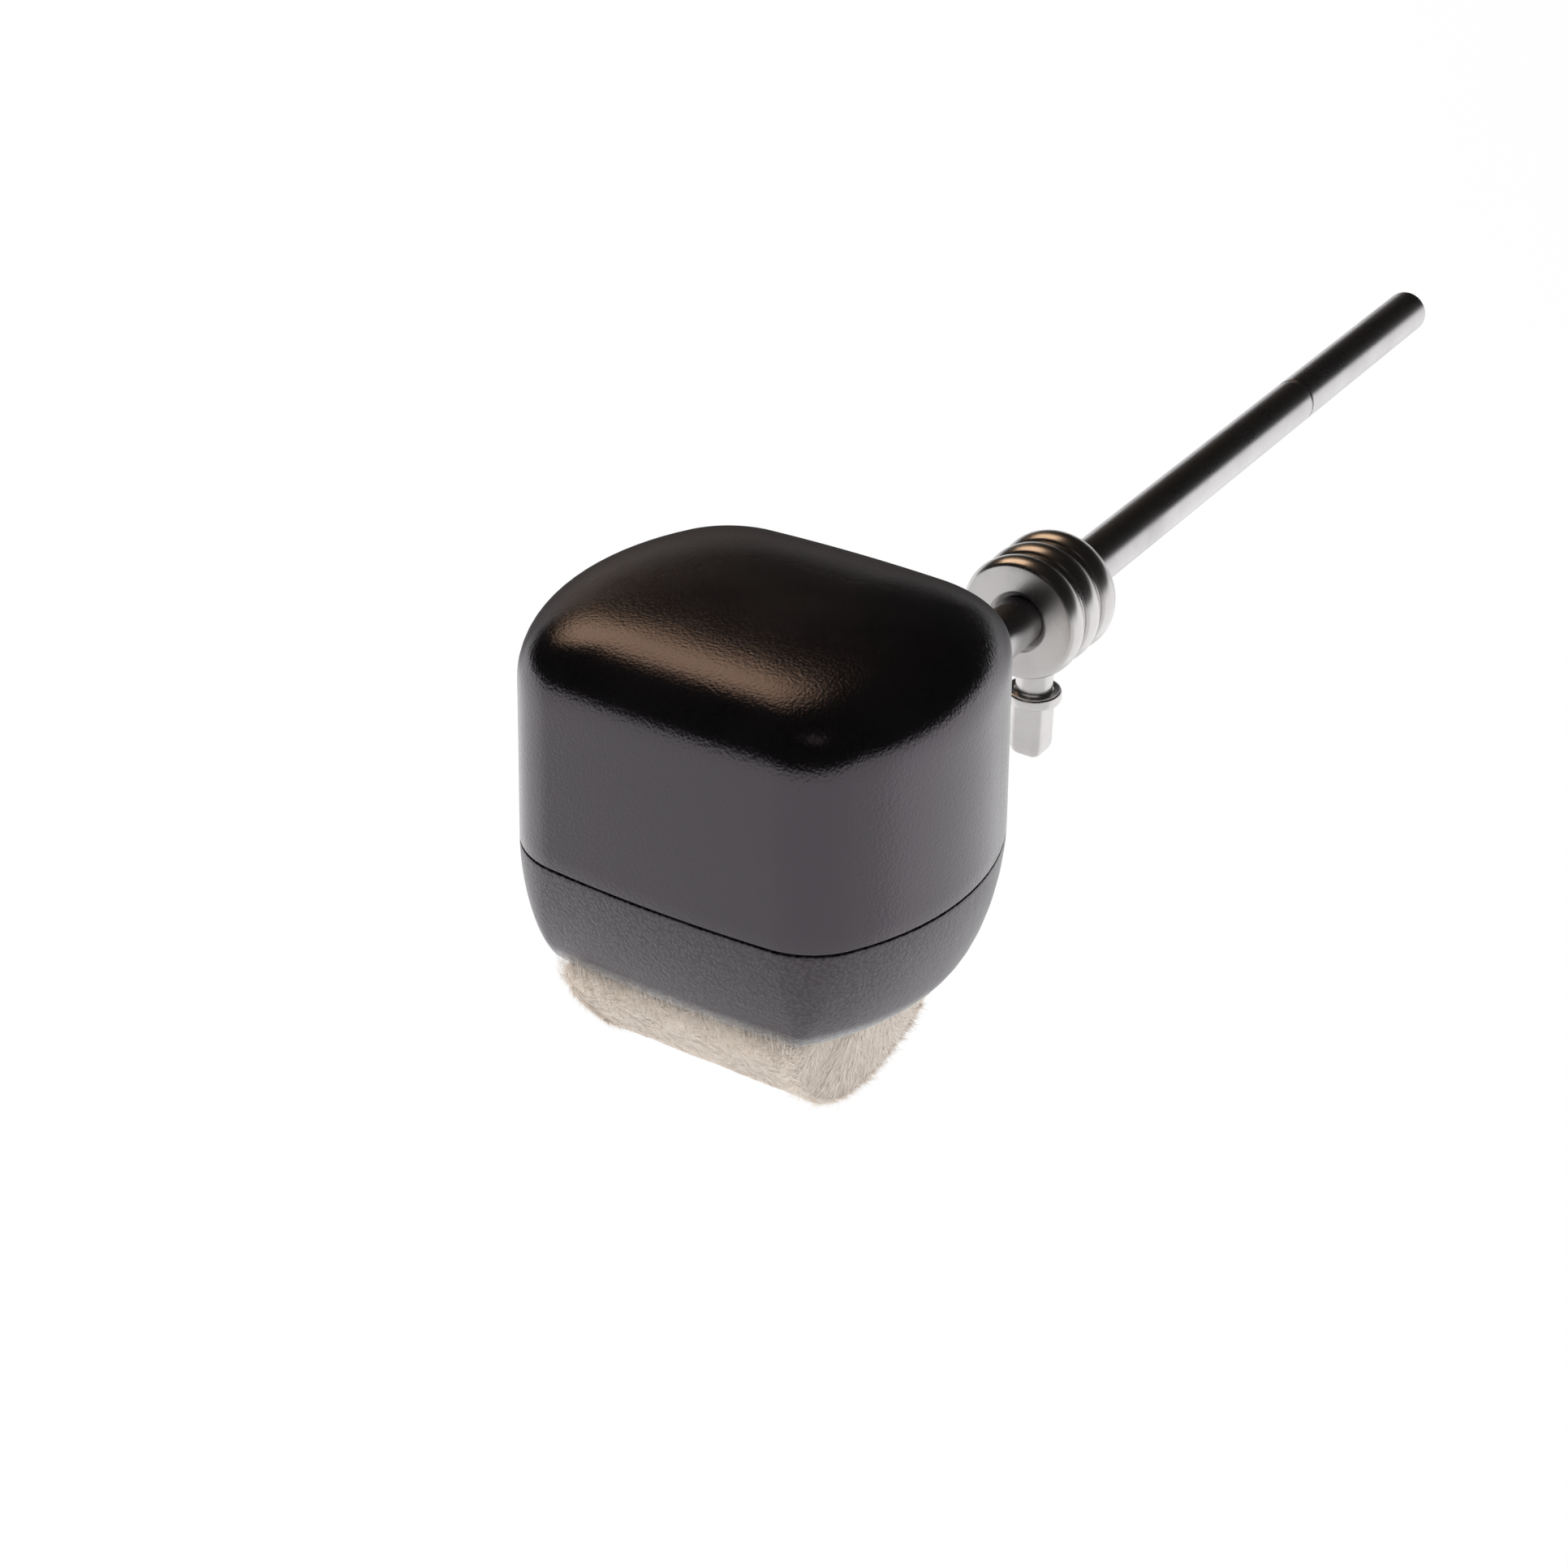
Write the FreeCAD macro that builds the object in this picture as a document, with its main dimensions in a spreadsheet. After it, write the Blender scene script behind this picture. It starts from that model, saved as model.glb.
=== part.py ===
import FreeCAD, Part
import math
import os
import re
import Sketcher

# Bass drum beater. Millimetres. Z runs along the rod with the head on top, -Y is the beating side,
# X is across the head. The origin is on the rod's axis, in the stretch that a pedal clamps.

V = FreeCAD.Vector

SIZES = (
    ("rod_radius", 4.0, "rod"),
    ("rod_below", 24.0, "rod's free end below the origin"),
    ("rod_chamfer", 1.0, "chamfer of the rod's ends"),
    ("index_height", 31.0, "lower edge of the index ring above the origin"),
    ("index_width", 0.6, "width of the index ring"),
    ("index_depth", 0.2, "depth of the index ring"),
    ("thread_relief", 0.1, "thread's crest below the rod's surface"),
    ("thread_runout", 2.0, "thread that shows below the lock nut"),
    ("head_centre", 208.0, "head's centre above the origin"),
    ("head_half_width", 32.3, "half of the head across X at the parting line"),
    ("head_half_length", 26.8, "half of the head along Z at the parting line"),
    ("side_radius", 38.7, "bulge of the head's two sides in plan"),
    ("end_radius", 220.0, "bulge of the head's two ends in plan"),
    ("corner_radius", 11.8, "corners of the head in plan"),
    ("wall", 3.0, "moulded wall"),
    ("fit_gap", 0.25, "gap between moulded pieces that locate each other"),
    ("parting_gap", 0.3, "shadow line between shell and bezel"),
    ("shell_depth", 34.5, "top of the crown behind the rod's axis"),
    ("draft_angle", 1.2, "draft of the shell's wall, in degrees"),
    ("crown_radius", 250.0, "ball that the shell's back is part of"),
    ("crown_round", 10.0, "rounding between the shell's wall and back"),
    ("bezel_depth", 17.0, "bezel's rim in front of the rod's axis"),
    ("bezel_rest", 2.8, "depth the bezel's curve would still need to turn flat"),
    ("bezel_power", 1.73, "exponent of the bezel's curve"),
    ("side_sweep", 8.6, "full sweep of the bezel's curve on the sides"),
    ("end_sweep", 6.9, "full sweep of the bezel's curve on the ends"),
    ("rim_corner", 3.0, "corners of the bezel's rim in plan"),
    ("rim_round", 0.6, "rounding of the bezel's rim"),
    ("lip_height", 3.0, "locating lip of the bezel"),
    ("lip_thick", 1.6, "thickness of the locating lip"),
    ("rim_thick", 1.3, "bezel's rim at the head's two ends"),
    ("recess_corner", 2.0, "corners of the bezel's recess"),
    ("floor_thick", 3.0, "bezel's floor"),
    ("pad_gap", 0.3, "gap round the pad in the recess"),
    ("plate_thick", 3.0, "pad plate"),
    ("core_radius", 13.2, "half-round core"),
    ("core_half_width", 15.4, "half of the core across X"),
    ("hide_thick", 1.4, "skin that carries the wool"),
    ("pile_thick", 7.6, "wool over the skin"),
    ("wool_round", 2.5, "rounding of the wool's ends"),
    ("screw_edge", 1.75, "plate left outside a screw's head"),
    ("screw_radius", 1.45, "shank of a housing screw"),
    ("screw_head", 3.0, "head radius of a housing screw"),
    ("screw_reach", 14.0, "tip of a housing screw behind the rod's axis"),
    ("screw_gap", 0.1, "gap round a housing screw"),
    ("slot_width", 0.8, "driver slot"),
    ("slot_depth", 0.7, "depth of the driver slot"),
    ("post_radius", 4.0, "screw post of the shell"),
    ("rib_thick", 2.5, "ribs that hold the hub"),
    ("hub_half_width", 9.0, "half of the hub across X"),
    ("hub_half_depth", 7.0, "half of the hub along Y"),
    ("hub_length", 21.6, "hub along Z"),
    ("hub_gap", 0.7, "gap between the hub's block and the bulged end wall"),
    ("hub_boss", 6.0, "radius of the boss that passes the wall"),
    ("boss_proud", 0.3, "boss beyond the head's lower end"),
    ("hub_spare", 2.0, "empty bore above the rod's end"),
    ("washer_radius", 8.0, "lock washer"),
    ("washer_thick", 1.6, "thickness of the lock washer"),
    ("nut_flat", 6.5, "half of the lock nut across flats"),
    ("nut_height", 5.0, "lock nut"),
    ("nut_crown", 7.6, "radius that takes the nut's points off"),
    ("weight_centre", 128.7, "counterweight's centre above the origin"),
    ("weight_length", 14.9, "counterweight"),
    ("weight_radius", 10.25, "counterweight"),
    ("weight_round", 0.6, "rounding of the counterweight's rings"),
    ("groove_width", 0.9, "grooves between the rings"),
    ("groove_depth", 0.9, "depth of the grooves"),
    ("sink_radius", 5.0, "countersink of the counterweight's bore"),
    ("running_gap", 0.05, "radial clearance of sliding and turning fits"),
    ("key_radius", 3.0, "thread of the key screw"),
    ("key_neck", 15.0, "flange's inner face from the rod's axis"),
    ("flange_radius", 4.5, "flange of the key screw"),
    ("flange_thick", 2.0, "thickness of the flange"),
    ("flange_round", 0.5, "rounding of the flange"),
    ("square_half", 2.85, "half of the key's square across flats"),
    ("square_end", 26.9, "end of the key's square from the rod's axis"),
    ("square_round", 0.9, "rounding of the square's end"),
    ("slug_radius", 2.9, "clamp pad at the key screw's tip"),
    ("slug_thick", 1.5, "thickness of the clamp pad"),
)
ALIASES = {name for name, size, meaning in SIZES}

# Places that several pieces share, each worked out from the sheet.
RIM_TURN = "(1 - pow(1 - pow(bezel_depth / (bezel_depth + bezel_rest); bezel_power); 1 / bezel_power))"
SCREW_X = "(hub_half_width + fit_gap + post_radius)"
RECESS_X = "(hub_half_width + fit_gap + post_radius + screw_head + screw_edge)"
RECESS_Z = f"(head_half_length - end_sweep * {RIM_TURN} - rim_thick)"
SCREW_Z = f"({RECESS_Z} - screw_head - screw_edge)"
WOOL_RADIUS = "(core_radius + hide_thick + pile_thick)"
PLATE_BACK = "(hub_half_depth + floor_thick)"
PLATE_FRONT = "(hub_half_depth + floor_thick + plate_thick)"
HEAD_FOOT = "(head_centre - head_half_length)"
HUB_FOOT = "(head_centre - head_half_length + wall + hub_gap)"
HUB_TOP = "(head_centre - head_half_length + wall + hub_gap + hub_length)"
BOSS_FOOT = "(head_centre - head_half_length - boss_proud)"
NUT_TOP = "(head_centre - head_half_length - boss_proud - washer_thick)"
NUT_FOOT = "(head_centre - head_half_length - boss_proud - washer_thick - nut_height)"
SLUG_FRONT = "(rod_radius + running_gap + slug_thick)"

# Sections of the bezel, as shares of its depth.
BEZEL_SHARES = (0.35, 0.65, 0.86, 1.0)

UP = FreeCAD.Rotation()
FRONT = FreeCAD.Rotation(V(1, 0, 0), 90)
BACK = FreeCAD.Rotation(V(1, 0, 0), -90)
ACROSS = FreeCAD.Rotation(V(0, 0, 1), V(0, -1, 0), V(1, 0, 0), "XYZ")
CORNERS = ((1, 1), (-1, 1), (-1, -1), (1, -1))


def make_sheet(doc):
    """Write every size into the sheet, one aliased cell each."""
    sheet = doc.addObject("Spreadsheet::Sheet", "sizes")
    for row, (name, size, meaning) in enumerate(SIZES, start=1):
        sheet.set(f"A{row}", meaning)
        sheet.set(f"B{row}", str(size))
        sheet.setAlias(f"B{row}", name)
    doc.recompute()


def cells(text):
    """The expression with each size written as its cell of the sheet."""
    return re.sub(r"[a-z_]+", lambda word: "sizes." + word[0] if word[0] in ALIASES else word[0], text)


def number(doc, text):
    """What an expression of sizes comes to."""
    return float(doc.getObject("sizes").evalExpression(cells(text)))


def bind(thing, **sizes):
    """Tie properties of an object to expressions of sizes."""
    for prop, text in sizes.items():
        thing.setExpression(prop, cells(text))
    return thing


def place(thing, x, y, z, turn=UP):
    """Turn an object and tie its position to expressions of sizes."""
    thing.Placement = FreeCAD.Placement(V(), turn)
    for axis, text in zip("xyz", (x, y, z)):
        thing.setExpression("Placement.Base." + axis, cells(text))
    return thing


def box(doc, name, corner, size):
    """Box from its low corner and its three sizes."""
    made = doc.addObject("Part::Box", name)
    bind(made, Length=size[0], Width=size[1], Height=size[2])
    return place(made, *corner)


def cylinder(doc, name, radius, height, foot, turn=UP, angle="360"):
    """Cylinder from the centre of its first face, along the turned Z."""
    made = doc.addObject("Part::Cylinder", name)
    bind(made, Radius=radius, Height=height, Angle=angle)
    return place(made, *foot, turn)


def cone(doc, name, radius_near, radius_far, height, foot, turn=UP):
    """Cone from the centre of its first face, along the turned Z."""
    made = doc.addObject("Part::Cone", name)
    bind(made, Radius1=radius_near, Radius2=radius_far, Height=height)
    return place(made, *foot, turn)


def fuse(doc, name, things):
    """Union of several objects."""
    made = doc.addObject("Part::MultiFuse", name)
    made.Shapes = things
    return made


def cut(doc, name, base, tools):
    """The base without the tools."""
    made = doc.addObject("Part::Cut", name)
    made.Base = base
    made.Tool = tools[0] if len(tools) == 1 else fuse(doc, name + "_tools", tools)
    return made


def common(doc, name, first, second):
    """What two objects share."""
    made = doc.addObject("Part::MultiCommon", name)
    made.Shapes = [first, second]
    return made


def fillet(doc, name, base, radius, choose):
    """Round the edges of an object that choose() picks."""
    doc.recompute()
    size = number(doc, radius)
    made = doc.addObject("Part::Fillet", name)
    made.Base = base
    made.Edges = [(i, size, size) for i, edge in enumerate(base.Shape.Edges, start=1) if choose(edge)]
    return made


def sketch(body, name, role, lift="0", shift="0"):
    """Sketch on one of the body's origin planes, lifted off it and shifted along its own Y."""
    made = body.newObject("Sketcher::SketchObject", name)
    plane = next(part for part in body.Origin.OriginFeatures if part.Role == role)
    made.AttachmentSupport = [(plane, "")]
    made.MapMode = "FlatFace"
    made.setExpression("AttachmentOffset.Base.z", cells(lift))
    made.setExpression("AttachmentOffset.Base.y", cells(shift))
    return made


def constrain(made, kind, *where, label=None, text=None):
    """Add one constraint, and tie its value to an expression of sizes where it has one."""
    if text is None:
        made.addConstraint(Sketcher.Constraint(kind, *where))
        return
    index = made.addConstraint(Sketcher.Constraint(kind, *where, number(made.Document, text)))
    made.renameConstraint(index, label)
    made.setExpression("Constraints." + label, cells(text))


def polygon(made, corners):
    """Closed outline of straight lines through corners given as expressions of sizes."""
    doc = made.Document
    points = [V(number(doc, x), number(doc, y), 0) for x, y in corners]
    for i, point in enumerate(points):
        made.addGeometry(Part.LineSegment(point, points[(i + 1) % len(points)]), False)
    for i, (x, y) in enumerate(corners):
        constrain(made, "Coincident", i - 1 if i else len(corners) - 1, 2, i, 1)
        constrain(made, "DistanceX", -1, 1, i, 1, label=f"x{i}", text=x)
        constrain(made, "DistanceY", -1, 1, i, 1, label=f"y{i}", text=y)


def corner_centre(half_width, half_length, side, end, corner):
    """Centre of the corner arc that is tangent to the side arc and to the end arc."""
    side_x = half_width - side
    end_y = half_length - end
    reach_side = side - corner
    reach_end = end - corner
    apart = math.hypot(side_x, end_y)
    along = (reach_side**2 - reach_end**2 + apart**2) / (2 * apart)
    off = math.sqrt(reach_side**2 - along**2)
    toward = V(-side_x / apart, end_y / apart, 0)
    across = V(-toward.y, toward.x, 0)
    foot = V(side_x, 0, 0) + toward * along
    return max((foot + across * off, foot - across * off), key=lambda point: point.x + point.y)


def barrel(made, half_width, half_length, side, end, corner, tag=""):
    """Barrel outline: two bulged sides, two bulged ends and four corners, all tangent."""
    doc = made.Document
    texts = (half_width, half_length, side, end, corner)
    width, length, side_r, end_r, corner_r = (number(doc, text) for text in texts)
    centre = corner_centre(width, length, side_r, end_r, corner_r)
    side_x = width - side_r
    end_y = length - end_r
    low = math.atan2(centre.y, centre.x - side_x)
    high = math.atan2(centre.y - end_y, centre.x)
    turn = math.pi
    arcs = (
        (V(side_x, 0, 0), side_r, -low, low),
        (centre, corner_r, low, high),
        (V(0, end_y, 0), end_r, high, turn - high),
        (V(-centre.x, centre.y, 0), corner_r, turn - high, turn - low),
        (V(-side_x, 0, 0), side_r, turn - low, turn + low),
        (-centre, corner_r, turn + low, turn + high),
        (V(0, -end_y, 0), end_r, turn + high, 2 * turn - high),
        (V(centre.x, -centre.y, 0), corner_r, 2 * turn - high, 2 * turn - low),
    )
    first = made.GeometryCount
    for middle, radius, start, stop in arcs:
        made.addGeometry(Part.ArcOfCircle(Part.Circle(middle, V(0, 0, 1), radius), start, stop), False)
    for i in range(len(arcs)):
        constrain(made, "Tangent", first + i, 2, first + (i + 1) % len(arcs), 1)
    constrain(made, "Radius", first, label=tag + "side", text=side)
    constrain(made, "Radius", first + 1, label=tag + "corner", text=corner)
    constrain(made, "Radius", first + 2, label=tag + "end", text=end)
    for same, other in ((0, 4), (2, 6), (1, 3), (1, 5), (1, 7)):
        constrain(made, "Equal", first + same, first + other)
    for i, sign in ((0, ""), (4, "-")):
        constrain(made, "PointOnObject", first + i, 3, -1)
        text = f"{sign}({half_width} - ({side}))"
        constrain(made, "DistanceX", -1, 1, first + i, 3, label=f"{tag}side{i}", text=text)
    for i, sign in ((2, ""), (6, "-")):
        constrain(made, "PointOnObject", first + i, 3, -2)
        text = f"{sign}({half_length} - ({end}))"
        constrain(made, "DistanceY", -1, 1, first + i, 3, label=f"{tag}end{i}", text=text)


def inset_barrel(made, side_inset, end_inset, corner, tag=""):
    """The head's barrel outline drawn in by one inset on the sides and one on the ends."""
    barrel(
        made,
        f"head_half_width - ({side_inset})",
        f"head_half_length - ({end_inset})",
        f"side_radius - ({side_inset})",
        f"end_radius - ({end_inset})",
        corner,
        tag,
    )


def loft(body, name, sections):
    """Solid through a row of sketches."""
    made = body.newObject("PartDesign::AdditiveLoft", name)
    made.Profile = sections[0]
    made.Sections = sections[1:]
    return made


def head_section(body, name, depth):
    """Sketch across the head at a depth behind the rod's axis, centred on the head."""
    return sketch(body, name, "XZ_Plane", lift=f"-({depth})", shift="head_centre")


def shell_form(doc, name, foot_depth, inset):
    """Drafted wall of the shell with a slightly crowned, well rounded back, drawn in by an inset."""
    body = doc.addObject("PartDesign::Body", name + "_wall")
    foot = head_section(body, name + "_foot", foot_depth)
    inset_barrel(foot, inset, inset, f"corner_radius - {inset}")
    made = body.newObject("PartDesign::Pad", name + "_pad")
    made.Profile = foot
    made.Reversed = True
    bind(made, Length=f"shell_depth - {inset} - ({foot_depth})", TaperAngle="-draft_angle")
    ball = doc.addObject("Part::Sphere", name + "_ball")
    bind(ball, Radius=f"crown_radius - {inset}")
    place(ball, "0", "shell_depth - crown_radius", "head_centre")
    crowned = common(doc, name + "_crowned", body, ball)
    top = number(doc, f"shell_depth - {inset} - crown_round / 2")
    return fillet(doc, name, crowned, f"crown_round - {inset}", lambda edge: edge.BoundBox.YMin > top)


def at_screws(maker):
    """One object from the maker for each of the four housing screws."""
    made = []
    for i, (right, up) in enumerate(CORNERS):
        made.append(maker(i, f"{right} * {SCREW_X}", f"head_centre + {up} * {SCREW_Z}"))
    return made


def hub_ribs(doc):
    """Ribs of the shell that hold the hub: two cheeks, two seats and a stop."""
    inner = "(hub_half_width + fit_gap)"
    depth = "shell_depth"
    start = "lip_height + fit_gap"
    cheek = ("rib_thick", depth, f"{HUB_TOP} + fit_gap + rib_thick - {HEAD_FOOT}")
    across = (f"2 * {inner}", depth, "rib_thick")
    return [
        box(doc, "cheek_right", (inner, start, HEAD_FOOT), cheek),
        box(doc, "cheek_left", (f"-{inner} - rib_thick", start, HEAD_FOOT), cheek),
        box(doc, "seat_low", (f"-{inner}", "hub_half_depth", f"{HUB_FOOT} + rib_thick"), across),
        box(doc, "seat_high", (f"-{inner}", "hub_half_depth", f"{HUB_TOP} - 2 * rib_thick"), across),
        box(doc, "hub_stop", (f"-{inner}", start, f"{HUB_TOP} + fit_gap"), across),
    ]


def boss_hole(doc, name):
    """Round passage for the hub's boss through the head's lower end."""
    foot = ("0", "0", f"{HEAD_FOOT} - wall")
    return cylinder(doc, name, "hub_boss + fit_gap", f"{HUB_FOOT} - {HEAD_FOOT} + 2 * wall", foot)


def rear_shell(doc):
    """Moulded back of the head with its ribs and screw posts."""
    outside = shell_form(doc, "shell_outside", "parting_gap / 2", "0")
    inside = shell_form(doc, "shell_inside", "-wall", "wall")
    hollow = cut(doc, "shell_hollow", outside, [inside])
    ribs = common(doc, "shell_ribs", fuse(doc, "rib_blocks", hub_ribs(doc)), outside)
    post_length = "hub_half_depth + shell_depth - wall - fit_gap"
    posts = at_screws(
        lambda i, x, z: cylinder(doc, f"post{i}", "post_radius", post_length, (x, "-hub_half_depth", z), BACK)
    )
    pilot_length = "hub_half_depth + screw_reach + 2 * post_radius"
    pilots = at_screws(
        lambda i, x, z: cylinder(
            doc, f"pilot{i}", "screw_radius + running_gap", pilot_length, (x, "-2 * hub_half_depth", z), BACK
        )
    )
    solid = fuse(doc, "shell_solid", [hollow, ribs] + posts)
    return cut(doc, "rear_shell", solid, pilots + [boss_hole(doc, "shell_boss_hole")])


def bezel_outside(doc):
    """Outer form of the bezel, curving in from the parting line to the rim."""
    body = doc.addObject("PartDesign::Body", "bezel_outside")
    foot = head_section(body, "bezel_foot", "-parting_gap / 2")
    inset_barrel(foot, "0", "0", "corner_radius")
    sections = [foot]
    for i, share in enumerate(BEZEL_SHARES):
        section = head_section(body, f"bezel_section{i}", f"-{share} * bezel_depth")
        turn = RIM_TURN.replace("bezel_depth /", f"{share} * bezel_depth /")
        corner = f"corner_radius + (rim_corner - corner_radius) * {share}"
        inset_barrel(section, f"side_sweep * {turn}", f"end_sweep * {turn}", corner)
        sections.append(section)
    loft(body, "bezel_loft", sections)
    rim = number(doc, "-bezel_depth")
    return fillet(doc, "bezel_round", body, "rim_round", lambda edge: abs(edge.BoundBox.YMax - rim) < 0.01)


def bezel_lip(doc):
    """Lip of the bezel that locates it in the shell."""
    body = doc.addObject("PartDesign::Body", "bezel_lip")
    ring = head_section(body, "lip_ring", "lip_height")
    outer = "(wall + fit_gap)"
    inner = "(wall + fit_gap + lip_thick)"
    inset_barrel(ring, outer, outer, f"corner_radius - {outer}", "outer_")
    inset_barrel(ring, inner, inner, f"corner_radius - {inner}", "inner_")
    made = body.newObject("PartDesign::Pad", "lip_pad")
    made.Profile = ring
    bind(made, Length="lip_height + wall")
    return body


def bezel_tray(doc):
    """Hollow of the bezel behind its floor."""
    body = doc.addObject("PartDesign::Body", "bezel_tray")
    outline = head_section(body, "tray_outline", "lip_height")
    inset = "(wall + fit_gap + lip_thick)"
    inset_barrel(outline, inset, inset, f"corner_radius - {inset}")
    made = body.newObject("PartDesign::Pad", "tray_pad")
    made.Profile = outline
    bind(made, Length="lip_height + hub_half_depth")
    return body


def recess_block(doc, name, gap, front, back):
    """Block that fills the bezel's recess between two depths, less a gap all round."""
    half_width = f"({RECESS_X} - {gap})"
    half_length = f"({RECESS_Z} - {gap})"
    block = box(
        doc,
        name + "_block",
        (f"-{half_width}", f"-({front})", f"head_centre - {half_length}"),
        (f"2 * {half_width}", f"{front} - {back}", f"2 * {half_length}"),
    )
    upright = lambda edge: edge.BoundBox.YLength > max(edge.BoundBox.XLength, edge.BoundBox.ZLength)
    return fillet(doc, name, block, f"recess_corner - {gap}", upright)


def front_bezel(doc):
    """Moulded front of the head: tray at the back, recess for the pad at the front."""
    solid = fuse(doc, "bezel_solid", [bezel_outside(doc), bezel_lip(doc)])
    recess = recess_block(doc, "bezel_recess", "0", "2 * bezel_depth", PLATE_BACK)
    side = "(hub_half_width + fit_gap)"
    relief = box(
        doc,
        "hub_relief",
        (f"-{side}", "-hub_half_depth", f"{HUB_FOOT} - hub_gap"),
        (f"2 * {side}", "2 * hub_half_depth", "hub_length"),
    )
    holes = at_screws(
        lambda i, x, z: cylinder(
            doc, f"floor_hole{i}", "screw_radius + screw_gap", "bezel_depth", (x, "-bezel_depth", z), BACK
        )
    )
    tools = [bezel_tray(doc), recess, relief, boss_hole(doc, "bezel_boss_hole")]
    return cut(doc, "front_bezel", solid, tools + holes)


def screw_form(doc, name, gap, x, z, tip):
    """Countersunk screw, or with a gap the hole for it, from the plate's front to its tip."""
    front = (x, f"-{PLATE_FRONT}", z)
    head = f"screw_head + {gap}"
    shank = f"screw_radius + {gap}"
    taper = cone(doc, name + "_head", head, shank, "screw_head - screw_radius", front, BACK)
    stem = cylinder(doc, name + "_shank", shank, tip, front, BACK)
    return fuse(doc, name, [taper, stem])


def housing_screw(doc, i, x, z):
    """One housing screw with its driver slot."""
    form = screw_form(doc, f"screw_form{i}", "0", x, z, f"{PLATE_FRONT} + screw_reach")
    slot = box(
        doc,
        f"screw_slot{i}",
        (f"{x} - screw_head", f"-{PLATE_FRONT} - slot_depth", f"{z} - slot_width / 2"),
        ("2 * screw_head", "2 * slot_depth", "slot_width"),
    )
    return cut(doc, f"housing_screw{i}", form, [slot])


def housing_screws(doc):
    """The four screws that hold plate, bezel and shell together."""
    group = doc.addObject("Part::Compound", "housing_screws")
    group.Links = at_screws(lambda i, x, z: housing_screw(doc, i, x, z))
    return group


def pad_plate(doc):
    """Plate that drops into the recess and carries the pad."""
    block = recess_block(doc, "plate_form", "pad_gap", PLATE_FRONT, PLATE_BACK)
    through = "2 * plate_thick"
    holes = at_screws(lambda i, x, z: screw_form(doc, f"plate_hole{i}", "screw_gap", x, z, through))
    return cut(doc, "pad_plate", block, holes)


def half_round(doc, name, radius, half_width):
    """Half cylinder across the head, lying on the front of the plate."""
    foot = (f"-({half_width})", f"-{PLATE_FRONT}", "head_centre")
    return cylinder(doc, name, radius, f"2 * ({half_width})", foot, ACROSS, "180")


def pad_core(doc):
    """Half-round core of the pad."""
    return half_round(doc, "pad_core", "core_radius", "core_half_width")


def hide_backing(doc):
    """Skin wrapped over the core, wool side out."""
    skin = half_round(doc, "hide_form", "core_radius + hide_thick", "core_half_width")
    inside = half_round(doc, "hide_inside", "core_radius", "2 * core_half_width")
    return cut(doc, "hide_backing", skin, [inside])


def wool_pile(doc):
    """Half-round wool pad with flanks that fit the recess and soft ends, hollow where skin and core are."""
    half_width = f"({RECESS_X} - pad_gap)"
    half_length = f"({RECESS_Z} - pad_gap)"
    drum = half_round(doc, "wool_drum", WOOL_RADIUS, half_width)
    flanks = box(
        doc,
        "wool_flanks",
        (f"-{half_width}", f"-{PLATE_FRONT} - {WOOL_RADIUS}", f"head_centre - {half_length}"),
        (f"2 * {half_width}", WOOL_RADIUS, f"2 * {half_length}"),
    )
    form = common(doc, "wool_form", drum, flanks)
    back = number(doc, f"-{PLATE_FRONT}")
    end_edge = lambda edge: edge.BoundBox.XLength < 0.01 and edge.BoundBox.YMin < back - 0.01
    soft = fillet(doc, "wool_soft", form, "wool_round", end_edge)
    hollow = half_round(doc, "wool_hollow", "core_radius + hide_thick", "core_half_width")
    return cut(doc, "wool_pile", soft, [hollow])


def weight_collar(doc):
    """Turned counterweight: three rings, two grooves, countersunk bore, and the key screw's hole."""
    body = doc.addObject("PartDesign::Body", "weight_turned")
    profile = sketch(body, "weight_profile", "XZ_Plane", shift="weight_centre")
    bore = "rod_radius + running_gap"
    sink = "sink_radius"
    half = "weight_length / 2"
    shoulder = f"{half} - (sink_radius - rod_radius - running_gap)"
    groove = "weight_radius - groove_depth"
    near = "weight_length / 6 - groove_width / 2"
    far = "weight_length / 6 + groove_width / 2"
    upper = [
        ("weight_radius", near),
        (groove, near),
        (groove, far),
        ("weight_radius", far),
        ("weight_radius", half),
        (sink, half),
        (bore, shoulder),
    ]
    lower = [(x, f"-({y})") for x, y in reversed(upper)]
    polygon(profile, upper + lower)
    turned = body.newObject("PartDesign::Revolution", "weight_revolved")
    turned.Profile = profile
    turned.ReferenceAxis = (profile, ["V_Axis"])
    doc.recompute()
    rim = number(doc, "weight_radius")
    rounded = body.newObject("PartDesign::Fillet", "weight_rounded")
    edges = enumerate(turned.Shape.Edges, start=1)
    ring_edges = [f"Edge{i}" for i, edge in edges if edge.Closed and abs(edge.Curve.Radius - rim) < 0.01]
    rounded.Base = (turned, ring_edges)
    bind(rounded, Radius="weight_round")
    hole = cylinder(
        doc, "key_hole", "key_radius + running_gap", "2 * weight_radius", ("0", "0", "weight_centre"), FRONT
    )
    return cut(doc, "weight_collar", body, [hole])


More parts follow.
